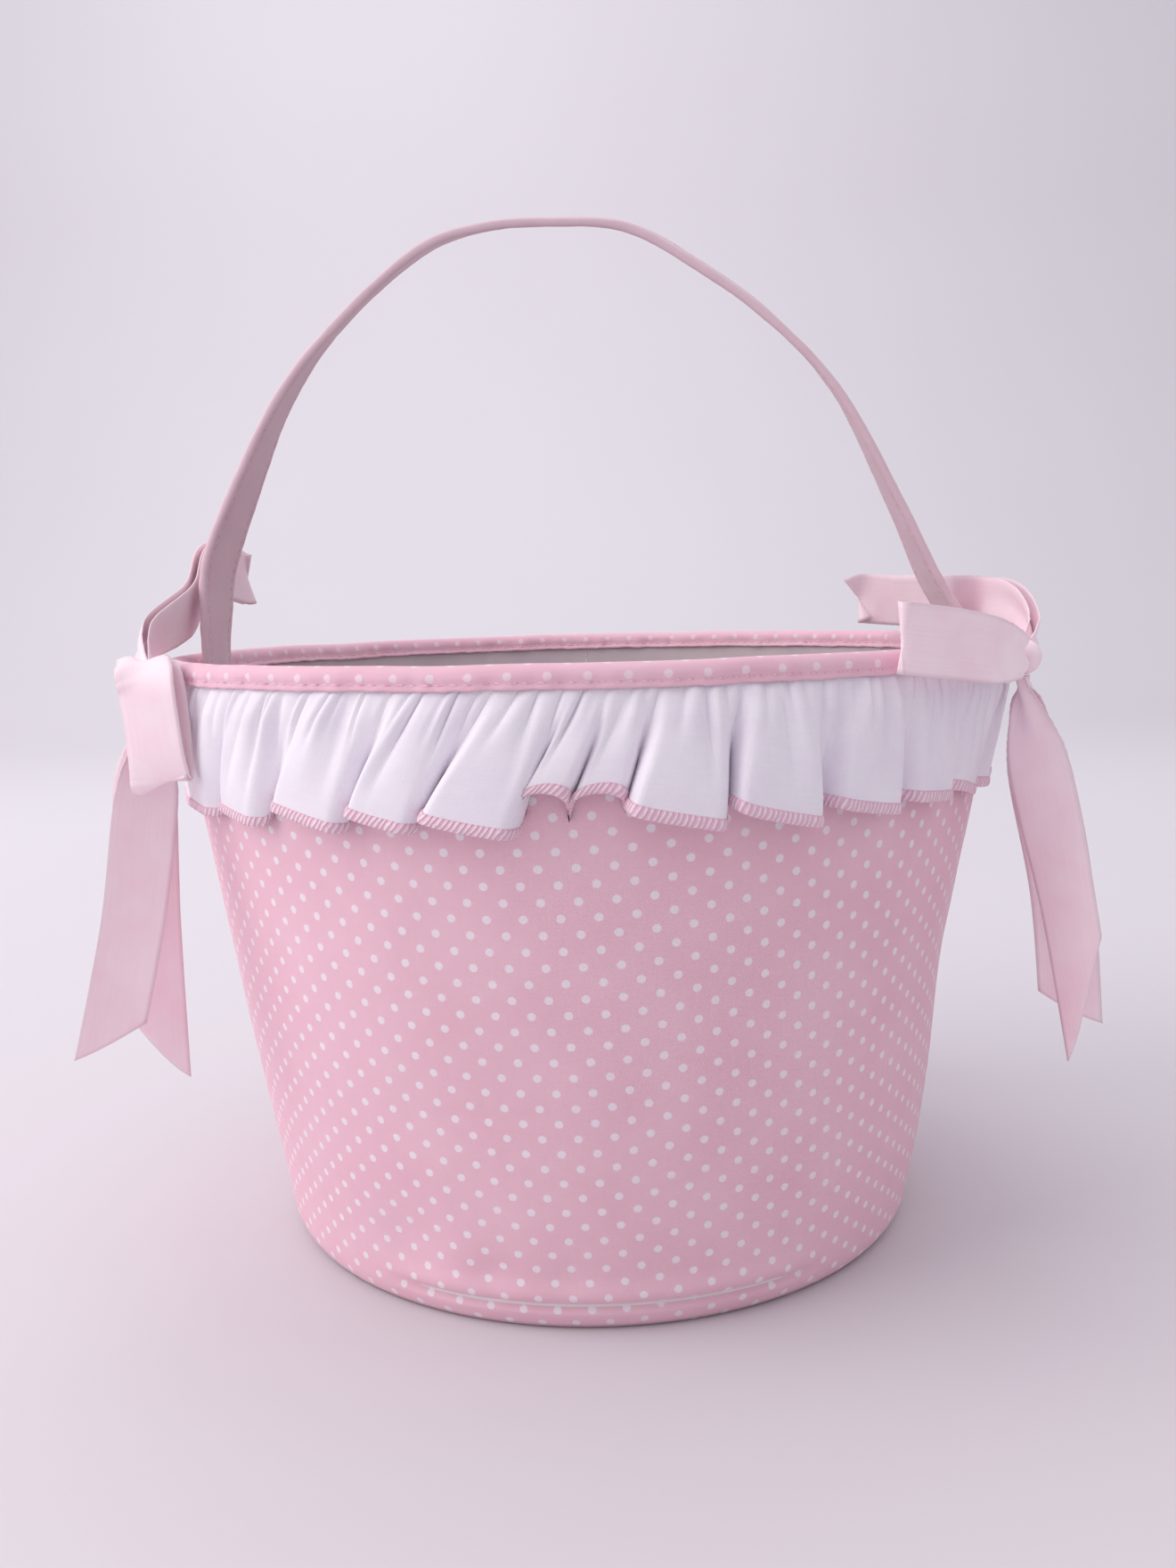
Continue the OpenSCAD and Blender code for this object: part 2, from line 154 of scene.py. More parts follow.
def close(piece):
    """Closes the seam where a section or a disc meets itself"""
    only(piece)
    bpy.ops.object.mode_set(mode="EDIT")
    bpy.ops.mesh.select_all(action="SELECT")
    bpy.ops.mesh.remove_doubles(threshold=0.00001)
    bpy.ops.mesh.normals_make_consistent(inside=False)
    bpy.ops.object.mode_set(mode="OBJECT")
    return piece


def dress(piece, finish, nodes=(), body="bucket"):
    """Gives a piece its finish, hides the nodes it stands for and hangs it on the body it rides"""
    piece.data.materials.clear()
    piece.data.materials.append(finish)
    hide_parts(*nodes)
    if body:
        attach(piece, body)
    return piece


# ---- Finishes ----

def colour(code):
    """Linear colour of an sRGB hex value"""
    parts = [int(code[i:i + 2], 16) / 255 for i in (1, 3, 5)]
    return [c / 12.92 if c <= 0.04045 else ((c + 0.055) / 1.055) ** 2.4 for c in parts] + [1]


def add(tree, kind, settings, inputs, out=0):
    """Adds one node with its settings and its inputs, values or links, and gives its output"""
    node = tree.nodes.new("ShaderNode" + kind)
    for key, value in settings.items():
        setattr(node, key, value)
    for key, value in inputs.items():
        if isinstance(value, bpy.types.NodeSocket):
            tree.links.new(value, node.inputs[key])
        else:
            node.inputs[key].default_value = value
    return node.outputs[out] if node.outputs else None


def finish_named(name):
    """New material with an empty node tree"""
    made = bpy.data.materials.new(name)
    made.use_nodes = True
    made.node_tree.nodes.clear()
    return made, made.node_tree


def surface(tree, look):
    """Ends a material in a Principled shader with these inputs"""
    shader = add(tree, "BsdfPrincipled", {}, look)
    add(tree, "OutputMaterial", {}, {"Surface": shader})


def plain_weave(tree, flat, pitch):
    """Height of a plain weave, 0 to 1, with this spacing of the threads in millimetres"""
    scaled = add(tree, "VectorMath", {"operation": "SCALE"}, {0: flat, "Scale": TURN / pitch})
    waves = add(tree, "VectorMath", {"operation": "SINE"}, {0: scaled})
    across = add(tree, "SeparateXYZ", {}, {0: waves}, 0)
    along = add(tree, "SeparateXYZ", {}, {0: waves}, 1)
    crossed = add(tree, "Math", {"operation": "MULTIPLY"}, {0: across, 1: along})
    return add(tree, "MapRange", {}, {"Value": crossed, "From Min": -1, "From Max": 1})


def slubs(tree, flat, size):
    """Uneven threads: noise drawn out along both directions of the cloth"""
    one = add(tree, "Mapping", {}, {"Vector": flat, "Scale": (0.12 / size, 1 / size, 1)})
    two = add(tree, "Mapping", {}, {"Vector": flat, "Scale": (1 / size, 0.12 / size, 1)})
    weft = add(tree, "TexNoise", {}, {"Vector": one, "Scale": 1.0, "Detail": 2.0})
    warp = add(tree, "TexNoise", {}, {"Vector": two, "Scale": 1.0, "Detail": 2.0})
    return add(tree, "Math", {"operation": "MULTIPLY"}, {0: weft, 1: warp})


def dotted_cotton(name, ground, deep, dot, dot_r, start, turn):
    """Printed cotton poplin: matt woven ground with small dots, their ink edge a little soft"""
    made, tree = finish_named(name)
    flat = add(tree, "UVMap", {"uv_map": "flat"}, {})
    moved = add(tree, "VectorMath", {"operation": "SUBTRACT"}, {0: flat, 1: start})
    lined = add(tree, "VectorRotate", {"rotation_type": "Z_AXIS"},
                {"Vector": moved, "Angle": math.radians(turn)})
    # Dots stand 8.5 mm apart in rows 3.95 mm apart, each row shifted by half a step
    step = (8.5, 7.91, 1)
    cell = add(tree, "VectorMath", {"operation": "DIVIDE"}, {0: lined, 1: step})
    reach = []
    for shift in ((0.5, 0.5, 0), (0, 0, 0)):
        there = add(tree, "VectorMath", {"operation": "ADD"}, {0: cell, 1: shift})
        part = add(tree, "VectorMath", {"operation": "FRACTION"}, {0: there})
        middle = add(tree, "VectorMath", {"operation": "SUBTRACT"}, {0: part, 1: (0.5, 0.5, 0)})
        inside = add(tree, "VectorMath", {"operation": "MULTIPLY"},
                     {0: middle, 1: (step[0], step[1], 0)})
        reach.append(add(tree, "VectorMath", {"operation": "LENGTH"}, {0: inside}, "Value"))
    nearest = add(tree, "Math", {"operation": "MINIMUM"}, {0: reach[0], 1: reach[1]})
    ragged = add(tree, "TexNoise", {}, {"Vector": flat, "Scale": 1.3, "Detail": 2.0})
    edge = add(tree, "Math", {"operation": "MULTIPLY_ADD"}, {0: ragged, 1: 0.3, 2: nearest})
    ink = add(tree, "MapRange", {"interpolation_type": "SMOOTHSTEP"},
              {"Value": edge, "From Min": dot_r + 0.32, "From Max": dot_r - 0.02})
    # Threads are really 0.25 mm apart; drawn at 0.55 mm so that the weave shows
    weave = plain_weave(tree, flat, 0.55)
    slub = slubs(tree, flat, 0.6)
    cloudy = add(tree, "TexNoise", {}, {"Vector": flat, "Scale": 0.045, "Detail": 3.0})
    mottle = add(tree, "MapRange", {}, {"Value": cloudy, "From Min": 0.3, "From Max": 0.7})
    base = add(tree, "Mix", {"data_type": "RGBA"}, {0: mottle, 6: colour(ground),
               7: colour(deep)}, 2)
    printed = add(tree, "Mix", {"data_type": "RGBA"}, {0: ink, 6: base, 7: colour(dot)}, 2)
    # Painted shade: the weave's crowns are painted a little lighter and the hollows between the threads
    # darker
    threads = add(tree, "Math", {"operation": "MULTIPLY_ADD"}, {0: weave, 1: 0.07, 2: 0.93})
    uneven = add(tree, "Math", {"operation": "MULTIPLY_ADD"}, {0: slub, 1: 0.12, 2: 0.97})
    light = add(tree, "Math", {"operation": "MULTIPLY"}, {0: threads, 1: uneven})
    shaded = add(tree, "VectorMath", {"operation": "SCALE"}, {0: printed, "Scale": light})
    relief = add(tree, "Math", {"operation": "MULTIPLY_ADD"}, {0: slub, 1: 1.2, 2: weave})
    normal = add(tree, "Bump", {}, {"Height": relief, "Strength": 0.35, "Distance": 0.00009})
    rough = add(tree, "MapRange", {}, {"Value": weave, "To Min": 0.9, "To Max": 0.78})
    surface(tree, {"Base Color": shaded, "Roughness": rough, "IOR": 1.46,
                   "Specular IOR Level": 0.25, "Sheen Weight": 0.12, "Sheen Roughness": 0.4,
                   "Normal": normal})
    return made


def plain_cotton(name, ground, deep, pitch, rough_low, rough_high, sheen, crinkle):
    """Plain woven cotton: fine even threads, soft shine on their crowns and faint creasing"""
    made, tree = finish_named(name)
    flat = add(tree, "UVMap", {"uv_map": "flat"}, {})
    weave = plain_weave(tree, flat, pitch)
    slub = slubs(tree, flat, 0.7)
    cloudy = add(tree, "TexNoise", {}, {"Vector": flat, "Scale": 0.06, "Detail": 3.0})
    mottle = add(tree, "MapRange", {}, {"Value": cloudy, "From Min": 0.3, "From Max": 0.7})
    base = add(tree, "Mix", {"data_type": "RGBA"}, {0: mottle, 6: colour(ground),
               7: colour(deep)}, 2)
    # Painted shade: the weave's crowns are painted a little lighter and the hollows between the threads
    # darker
    threads = add(tree, "Math", {"operation": "MULTIPLY_ADD"}, {0: weave, 1: 0.05, 2: 0.95})
    uneven = add(tree, "Math", {"operation": "MULTIPLY_ADD"}, {0: slub, 1: 0.1, 2: 0.975})
    light = add(tree, "Math", {"operation": "MULTIPLY"}, {0: threads, 1: uneven})
    shaded = add(tree, "VectorMath", {"operation": "SCALE"}, {0: base, "Scale": light})
    creases = add(tree, "TexNoise", {}, {"Vector": flat, "Scale": 0.16, "Detail": 3.0,
                  "Distortion": 0.6})
    relief = add(tree, "Math", {"operation": "MULTIPLY_ADD"}, {0: slub, 1: 1.2, 2: weave})
    folded = add(tree, "Math", {"operation": "MULTIPLY_ADD"},
                 {0: creases, 1: crinkle, 2: relief})
    normal = add(tree, "Bump", {}, {"Height": folded, "Strength": 0.35, "Distance": 0.00009})
    rough = add(tree, "MapRange", {}, {"Value": weave, "To Min": rough_high,
                "To Max": rough_low})
    surface(tree, {"Base Color": shaded, "Roughness": rough, "IOR": 1.46,
                   "Specular IOR Level": 0.3, "Sheen Weight": sheen, "Sheen Roughness": 0.4,
                   "Normal": normal})
    return made


def satin(name, ground, deep):
    """Satin ribbon: long smooth floats along its length shine, and each edge has a tight selvedge"""
    made, tree = finish_named(name)
    flat = add(tree, "UVMap", {"uv_map": "flat"}, {})
    # Warp threads are really 0.1 mm apart; drawn at 0.4 mm so that the fine lines show
    lines = add(tree, "Mapping", {}, {"Vector": flat, "Scale": (2.5, 0.05, 1)})
    floats = add(tree, "TexNoise", {}, {"Vector": lines, "Scale": 1.0, "Detail": 3.0})
    cloudy = add(tree, "TexNoise", {}, {"Vector": flat, "Scale": 0.08, "Detail": 2.0})
    across = add(tree, "SeparateXYZ", {}, {0: flat}, 0)
    from_middle = add(tree, "Math", {"operation": "ABSOLUTE"}, {0: across})
    selvedge = add(tree, "MapRange", {"interpolation_type": "SMOOTHSTEP"},
                   {"Value": from_middle, "From Min": RIBBON_W / 2 - 1.1,
                    "From Max": RIBBON_W / 2 - 0.6})
    mottle = add(tree, "MapRange", {}, {"Value": cloudy, "From Min": 0.3, "From Max": 0.7})
    base = add(tree, "Mix", {"data_type": "RGBA"}, {0: mottle, 6: colour(ground),
               7: colour(deep)}, 2)
    streaks = add(tree, "Math", {"operation": "MULTIPLY_ADD"}, {0: floats, 1: 0.1, 2: 0.95})
    edge = add(tree, "Math", {"operation": "MULTIPLY_ADD"}, {0: selvedge, 1: -0.06, 2: streaks})
    shaded = add(tree, "VectorMath", {"operation": "SCALE"}, {0: base, "Scale": edge})
    relief = add(tree, "Math", {"operation": "MULTIPLY_ADD"}, {0: selvedge, 1: 1.5, 2: floats})
    normal = add(tree, "Bump", {}, {"Height": relief, "Strength": 0.25, "Distance": 0.0001})
    rough = add(tree, "MapRange", {}, {"Value": floats, "To Min": 0.34, "To Max": 0.5})
    tangent = add(tree, "Tangent", {"direction_type": "UV_MAP", "uv_map": "flat"}, {})
    surface(tree, {"Base Color": shaded, "Roughness": rough, "IOR": 1.5,
                   "Anisotropic": 0.5, "Tangent": tangent, "Sheen Weight": 0.15,
                   "Sheen Roughness": 0.3, "Normal": normal})
    return made


def felt_cloth(name, ground, deep):
    """Needled felt: matt matted fibres with no weave"""
    made, tree = finish_named(name)
    flat = add(tree, "UVMap", {"uv_map": "flat"}, {})
    fibres = add(tree, "TexNoise", {}, {"Vector": flat, "Scale": 1.8, "Detail": 5.0,
                 "Distortion": 2.0})
    base = add(tree, "Mix", {"data_type": "RGBA"}, {0: fibres, 6: colour(ground),
               7: colour(deep)}, 2)
    normal = add(tree, "Bump", {}, {"Height": fibres, "Strength": 0.6, "Distance": 0.0003})
    rough = add(tree, "MapRange", {}, {"Value": fibres, "To Min": 0.88, "To Max": 0.98})
    surface(tree, {"Base Color": base, "Roughness": rough, "Sheen Weight": 0.3,
                   "Normal": normal})
    return made


def overlocking(name, pink, white):
    """Overlock edge: slanted white thread loops over a pink lower thread, along the cut hem"""
    made, tree = finish_named(name)
    flat = add(tree, "UVMap", {"uv_map": "flat"}, {})
    along = add(tree, "SeparateXYZ", {}, {0: flat}, 0)
    around = add(tree, "SeparateXYZ", {}, {0: flat}, 1)
    wobble = add(tree, "TexNoise", {}, {"Vector": flat, "Scale": 0.5, "Detail": 2.0})
    slant = add(tree, "Math", {"operation": "MULTIPLY_ADD"}, {0: around, 1: 0.45, 2: along})
    shaken = add(tree, "Math", {"operation": "MULTIPLY_ADD"}, {0: wobble, 1: 1.1, 2: slant})
    turns = add(tree, "Math", {"operation": "MULTIPLY"}, {0: shaken, 1: TURN / 1.3})
    wave = add(tree, "Math", {"operation": "SINE"}, {0: turns})
    loops = add(tree, "MapRange", {"interpolation_type": "SMOOTHSTEP"},
                {"Value": wave, "From Min": -0.35, "From Max": 0.55})
    # The two long threads that lock the loops run near both borders of the edge
    side = add(tree, "Math", {"operation": "SUBTRACT"}, {0: around, 1: 1.5})
    border = add(tree, "Math", {"operation": "ABSOLUTE"}, {0: side})
    locked = add(tree, "MapRange", {"interpolation_type": "SMOOTHSTEP"},
                 {"Value": border, "From Min": 0.75, "From Max": 1.25, "To Min": 1, "To Max": 0.12})
    shown = add(tree, "Math", {"operation": "MULTIPLY"}, {0: loops, 1: locked})
    fuzz = add(tree, "TexNoise", {}, {"Vector": flat, "Scale": 6.0, "Detail": 2.0})
    base = add(tree, "Mix", {"data_type": "RGBA"}, {0: shown, 6: colour(pink),
               7: colour(white)}, 2)
    fuzzy = add(tree, "Math", {"operation": "MULTIPLY_ADD"}, {0: fuzz, 1: 0.2, 2: 0.88})
    shaded = add(tree, "VectorMath", {"operation": "SCALE"}, {0: base, "Scale": fuzzy})
    relief = add(tree, "Math", {"operation": "MULTIPLY_ADD"}, {0: fuzz, 1: 0.3, 2: wave})
    normal = add(tree, "Bump", {}, {"Height": relief, "Strength": 0.8, "Distance": 0.0002})
    rough = add(tree, "MapRange", {}, {"Value": fuzz, "To Min": 0.6, "To Max": 0.8})
    surface(tree, {"Base Color": shaded, "Roughness": rough, "Sheen Weight": 0.2,
                   "Normal": normal})
    return made


def sewing_thread(name, ground, deep):
    """Spun sewing thread: two plies twisted, slightly glossy"""
    made, tree = finish_named(name)
    place = add(tree, "TexCoord", {}, {}, "Object")
    # Plies really turn every 0.4 mm; drawn at 0.8 mm so that the twist shows
    plies = add(tree, "TexWave", {"bands_direction": "DIAGONAL"}, {"Vector": place,
                "Scale": 400.0, "Distortion": 1.0})
    # Painted shade: the grooves between the plies take the darker colour and the crowns of the plies
    # the lighter one
    base = add(tree, "Mix", {"data_type": "RGBA"}, {0: plies, 6: colour(deep),
               7: colour(ground)}, 2)
    normal = add(tree, "Bump", {}, {"Height": plies, "Strength": 0.4, "Distance": 0.00005})
    rough = add(tree, "MapRange", {}, {"Value": plies, "To Min": 0.5, "To Max": 0.65})
    surface(tree, {"Base Color": base, "Roughness": rough, "Sheen Weight": 0.2,
                   "Normal": normal})
    return made


def pressed_board(name, ground, deep):
    """Grey fibre board: pressed pulp, matt, with flecks"""
    made, tree = finish_named(name)
    place = add(tree, "TexCoord", {}, {}, "Object")
    flecks = add(tree, "TexNoise", {}, {"Vector": place, "Scale": 900.0, "Detail": 4.0})
    base = add(tree, "Mix", {"data_type": "RGBA"}, {0: flecks, 6: colour(ground),
               7: colour(deep)}, 2)
    normal = add(tree, "Bump", {}, {"Height": flecks, "Strength": 0.3, "Distance": 0.0001})
    rough = add(tree, "MapRange", {}, {"Value": flecks, "To Min": 0.8, "To Max": 0.95})
    surface(tree, {"Base Color": base, "Roughness": rough, "Normal": normal})
    return made


def studio_paper(name, ground, deep):
    """Seamless background paper: matt, very slightly clouded"""
    made, tree = finish_named(name)
    place = add(tree, "TexCoord", {}, {}, "Object")
    cloudy = add(tree, "TexNoise", {}, {"Vector": place, "Scale": 2.0, "Detail": 2.0})
    base = add(tree, "Mix", {"data_type": "RGBA"}, {0: cloudy, 6: colour(ground),
               7: colour(deep)}, 2)
    tooth = add(tree, "TexNoise", {}, {"Vector": place, "Scale": 700.0, "Detail": 2.0})
    normal = add(tree, "Bump", {}, {"Height": tooth, "Strength": 0.1, "Distance": 0.0002})
    surface(tree, {"Base Color": base, "Roughness": 0.9, "Specular IOR Level": 0.2,
                   "Normal": normal})
    return made


DOT_START = (-17.9, 57.4, 0)
WALL_CLOTH = dotted_cotton("printed_poplin", "#f0c7d4", "#edbfcd", "#f4e7ef", 1.02, DOT_START, -2.5)
BINDING_CLOTH = dotted_cotton("printed_bias_binding", "#f1c8d6", "#ecbccc", "#f5dce6", 0.95,
                              (0, 3.4, 0), 0)
# Fine cotton, really 0.25 mm between threads, drawn at 0.5 mm so that the weave shows
RUFFLE_CLOTH = plain_cotton("white_cotton_lawn", "#f8f3fa", "#f2ebf6", 0.5, 0.5, 0.66, 0.15, 2.0)
# The lining cotton is off-white; its colour here is darkened and tinted pink, as painted shade and
# painted pink bounce light inside the basket
SHADED_LINING_CLOTH = plain_cotton("lining_cotton_painted_shade", "#d3c7ca", "#cabdc1", 0.5, 0.75, 0.9, 0.1, 5.0)
STRAP_CLOTH = plain_cotton("strap_cotton", "#e6cbd4", "#e0c2cd", 0.5, 0.72, 0.88, 0.2, 2.5)
SATIN = satin("satin_ribbon", "#ffeaf1", "#fde0ea")
FELT = felt_cloth("needled_felt", "#efedeb", "#e2dfdc")
BOARD = pressed_board("fibre_board", "#b9aea0", "#a5998b")
OVERLOCK = overlocking("overlock_thread", "#f1bcd1", "#f8e6ef")
THREAD = sewing_thread("sewing_thread", "#f6cfdc", "#e3a9bd")
SEAM_THREAD = sewing_thread("seam_thread", "#e9a9bf", "#d98fa8")
WHITE_THREAD = sewing_thread("white_thread", "#efe9ec", "#d6cdd2")

# ---- Wall of the bucket ----

SIN_CONE = math.sin(math.atan(SLOPE))
SEAM_T = math.pi


def from_seam(t):
    """Distance along the cloth from the back seam"""
    return abs(math.atan2(math.sin(t - SEAM_T), math.cos(t - SEAM_T))) * wall_r(80)


def sway(t, z):
    """How far the whole wall stands out from its cone at this place"""
    soft = 0.9 * grain(2.2 * math.sin(t), 2.2 * math.cos(t), z / 48)
    soft += 0.3 * grain(6 * math.sin(t) + 5, 6 * math.cos(t), z / 20)
    held = ease(4, 30, z) * (1 - ease(140, 158, z))
    slack = -2.5 * bump_at(t, math.radians(88), 0.55) * ease(42, 85, z) * (1 - ease(118, 156, z))
    dent = -1.3 * bump_at(t, math.radians(-31), 0.12) * bump_at(z, 20, 10)
    dent += 0.5 * bump_at(t, math.radians(-22), 0.1) * bump_at(z, 22, 12)
    return soft * held + slack + dent


def skin(t, z):
    """Fine shape of the outer cloth: rolled lower edge, pressed crease, dents, seam ditch"""
    front = ease(math.radians(40), math.radians(26), abs(t))
    roll = -2.9 * (max(0, 7.0 - z) / 7.0) ** 2.2
    crease = front * (1.1 * bump_at(z, 10.8, 2.4) - 1.6 * bump_at(z, 7.4, 0.6))
    dent = -0.9 * bump_at(z, 15, 5) * (bump_at(t, -0.3, 0.06) + 0.6 * bump_at(t, -0.1, 0.05))
    fold = -0.3 * bump_at(z, 59 + 3 * t, 0.7) * ease(-0.42, -0.36, t) * ease(-0.1, -0.16, t)
    ditch = -0.7 * bump_at(from_seam(t), 0, 0.9) * ease(0, 6, z)
    return roll + crease + dent + fold + ditch


def wall_piece(name, depth, thickness, z0, z1, cols, rows, outer=False):
    """One layer of the wall at this depth below the outer face"""
    def place(u, v):
        t = (u - 0.5) * TURN
        z = z0 + (z1 - z0) * v
        fine = skin(t, z) if outer else -2.6 * (max(0, 7.0 - z) / 7.0) ** 2.2
        return turned(t, wall_r(z) - depth + sway(t, z) + fine, z)

    def lay(u, v):
        z = z0 + (z1 - z0) * v
        reach = wall_r(z) / SIN_CONE
        share = (u - 0.5) * TURN * SIN_CONE
        return reach * math.sin(share), reach * math.cos(share) - BASE_R / SIN_CONE

    return thicken(cloth(name, cols, rows, place, lay, ring=True), thickness)


def disc(name, radius, z, dome, cols=96, rows=16, up=True):
    """Round piece of cloth, a little domed in the middle"""
    def place(u, v):
        share = 1 - v if up else v
        r = max(radius * share, 0.001)
        t = u * TURN
        ripple = 0.15 * grain(r * math.sin(t) / 14, r * math.cos(t) / 14, z)
        return turned(t, r, z + (dome + ripple) * (1 - share ** 2))

    def lay(u, v):
        r = radius * (1 - v if up else v)
        return r * math.sin(u * TURN), -r * math.cos(u * TURN)

    return close(cloth(name, cols, rows, place, lay, ring=True))


outer_cloth = wall_piece("outer_cloth", 0, 0.6, 0.25, 161.5, 400, 110, outer=True)
dress(outer_cloth, WALL_CLOTH, ["outer_wall"])

felt_layer = wall_piece("felt_layer", OUTER_T + 0.05, 1.4, 1.0, 161.0, 200, 40)
dress(felt_layer, FELT, ["wall_felt"])

lining_cloth = wall_piece("lining_cloth", OUTER_T + FELT_T + 0.05, 0.5, FLOOR_Z - 0.6, 161.5,
                          240, 60)
dress(lining_cloth, SHADED_LINING_CLOTH, ["wall_lining"])

base_cloth = thicken(disc("base_cloth", BASE_R - 3.4, 0.35, 0.25, up=False), 0.3)
dress(base_cloth, WALL_CLOTH, ["outer_base"])

base_lining = thicken(disc("base_lining_cloth", wall_r(FLOOR_Z) - STACK_T - 0.3, FLOOR_Z - 0.2, 0.3),
                      0.3)
dress(base_lining, SHADED_LINING_CLOTH, ["base_lining"])


def allowance(u, v):
    """Seam allowance folded in under the board, with small tucks"""
    t = u * TURN
    r = BASE_R - 4.2 - 7.5 * (1 - v)
    return turned(t, r, 1.1 + 0.12 * math.sin(40 * t))


folded_edge = cloth("seam_allowance_cloth", 160, 4, allowance,
                    lambda u, v: (u * 550, v * 7.5), ring=True)
dress(thicken(folded_edge, 0.3), WALL_CLOTH, ["seam_allowance"])

board = frame["nodes"]["base_board"]
board.data.materials.clear()
board.data.materials.append(BOARD)

# ---- Stitches ----

bpy.ops.object.select_all(action="DESELECT")
bpy.ops.mesh.primitive_cylinder_add(vertices=6, radius=0.2 * MM, depth=2.3 * MM,
                                    rotation=(0, math.pi / 2, 0))
stitch = bpy.context.active_object
bpy.ops.object.transform_apply(location=True, rotation=True, scale=True)
bpy.ops.object.mode_set(mode="EDIT")
bpy.ops.mesh.select_all(action="DESELECT")
bpy.ops.object.mode_set(mode="OBJECT")
for edge in stitch.data.edges:
    ends = [stitch.data.vertices[i].co.x for i in edge.vertices]
    edge.select = abs(ends[0] - ends[1]) > MM
bpy.ops.object.mode_set(mode="EDIT")
bpy.ops.mesh.select_mode(type="EDGE")
bpy.ops.mesh.subdivide(number_cuts=2)
bpy.ops.object.mode_set(mode="OBJECT")
for point in stitch.data.vertices:
    share = abs(point.co.x) / (1.15 * MM)
    point.co.z -= 0.26 * MM * share ** 3
    point.co.y *= 1 - 0.25 * share ** 4
STITCH_POINTS = [point.co.copy() for point in stitch.data.vertices]
STITCH_FACES = [list(face.vertices) for face in stitch.data.polygons]
bpy.data.objects.remove(stitch)


def sew(name, places):
    """One copy of the stitch at each place: (middle, direction of the seam, way out of the cloth)"""
    points = []
    faces = []
    for middle, along, out in places:
        start = len(points)
        along = along.normalized()
        side = out.cross(along).normalized()
        up = along.cross(side)
        points += [middle * MM + along * p.x + side * p.y + up * p.z for p in STITCH_POINTS]
        faces += [[start + k for k in face] for face in STITCH_FACES]
    mesh = bpy.data.meshes.new(name)
    mesh.from_pydata(points, [], faces)
    mesh.shade_smooth()
    piece = bpy.data.objects.new(name, mesh)
    bpy.context.collection.objects.link(piece)
    return piece


# ---- Rim ----

ROUND_R = (STACK_T + HEADING_T + 2 * BINDING_T) / 2
ROUND_Z = RIM_Z - ROUND_R
BINDING_DEPTH = 2 * (ROUND_Z - BINDING_Z) + math.pi * ROUND_R


def binding_pucker(t, side):
    """Small gathers of the binding between its stitches"""
    small = grain(34 * math.sin(t), 34 * math.cos(t), 3.0 * side)
    large = grain(11 * math.sin(t), 11 * math.cos(t), 7.0 + side)
    return 0.55 * small + 0.3 * large


def binding_section(t, length):
    """(radius, height) on the binding's face, length measured from its outer lower edge"""
    straight = ROUND_Z - BINDING_Z
    middle = wall_r(ROUND_Z) + HEADING_T + BINDING_T - ROUND_R
    bulge = 1.0
    if length < straight:
        z = BINDING_Z + length
        r = middle + ROUND_R + SLOPE * (z - ROUND_Z)
        out = 1
    elif length > straight + math.pi * ROUND_R:
        z = ROUND_Z - (length - straight - math.pi * ROUND_R)
        r = middle - ROUND_R + SLOPE * (z - ROUND_Z)
        out = -1
    else:
        turn = (length - straight) / ROUND_R
        z = ROUND_Z + ROUND_R * math.sin(turn)
        r = middle + ROUND_R * math.cos(turn)
        out = math.cos(turn)
        bulge = 0.6
    near_edge = min(length, BINDING_DEPTH - length)
    lip = 0.22 * bump_at(near_edge, 0.3, 0.7) - 0.3 * bump_at(near_edge, 1.55, 0.5)
    pucker = binding_pucker(t, out) * bulge * (0.35 + 0.65 * bump_at(near_edge, 1.2, 2.0))
    r += out * (lip + pucker)
    z += 0.3 * grain(28 * math.sin(t), 28 * math.cos(t), 20.0) * bump_at(near_edge, 0, 1.2)
    z += 0.35 * grain(5 * math.sin(t), 5 * math.cos(t), 31.0)
    return r, z


def binding_place(u, v):
    """The binding folds over the rim from outside to inside"""
    t = (u - 0.5) * TURN
    # Half a millimetre at each end is turned under
    length = -0.5 + (BINDING_DEPTH + 1.0) * v
    held = min(max(length, 0), BINDING_DEPTH)
    r, z = binding_section(t, held)
    under = abs(length - held)
    r -= (1 if v < 0.5 else -1) * under
    return turned(t, r + sway(t, z) * 0.5, z + under * 0.3)


binding = cloth("binding", 720, 30, binding_place,
                lambda u, v: ((u - 0.5) * 748, v * (BINDING_DEPTH + 1)), ring=True)
dress(thicken(binding, 0.45), BINDING_CLOTH, ["rim_binding"])

rim_stitches = []
STITCH_COUNT = 236
for k in range(STITCH_COUNT):
    t = (k / STITCH_COUNT - 0.5) * TURN
    for length, out in ((1.5, 1), (BINDING_DEPTH - 1.5, -1)):
        r, z = binding_section(t, length)
        lift = 0.1 * out
        middle = turned(t, r + lift + sway(t, z) * 0.5, z)
        rim_stitches.append((middle, turned(t + math.pi / 2, 1, 0), turned(t, out, 0)))
dress(sew("binding_stitches", rim_stitches), THREAD, ["binding_topstitch"])


def seam_row(name, depth, z0, z1, side, nodes, finish):
    """Upright row of short stitches in the ditch of a seam at the back"""
    places = []
    z = z0
    while z < z1:
        r = wall_r(z) - depth + sway(SEAM_T, z)
        if side > 0:
            r += skin(SEAM_T, z)
        places.append((turned(SEAM_T, r, z), Vector((0, SLOPE, 1)), turned(SEAM_T, side, 0)))
        z += 2.8
    dress(sew(name, places), finish, nodes)


seam_row("back_seam_stitches", -0.05, 9, BINDING_Z - 2, 1, ["back_seam_thread"], SEAM_THREAD)
seam_row("lining_seam_stitches", STACK_T + 0.05, FLOOR_Z + 2, BINDING_Z - 2, -1,
         ["lining_seam_thread"], WHITE_THREAD)

# ---- Ruffle ----

BOW_T = math.radians(65)
random.seed(7)
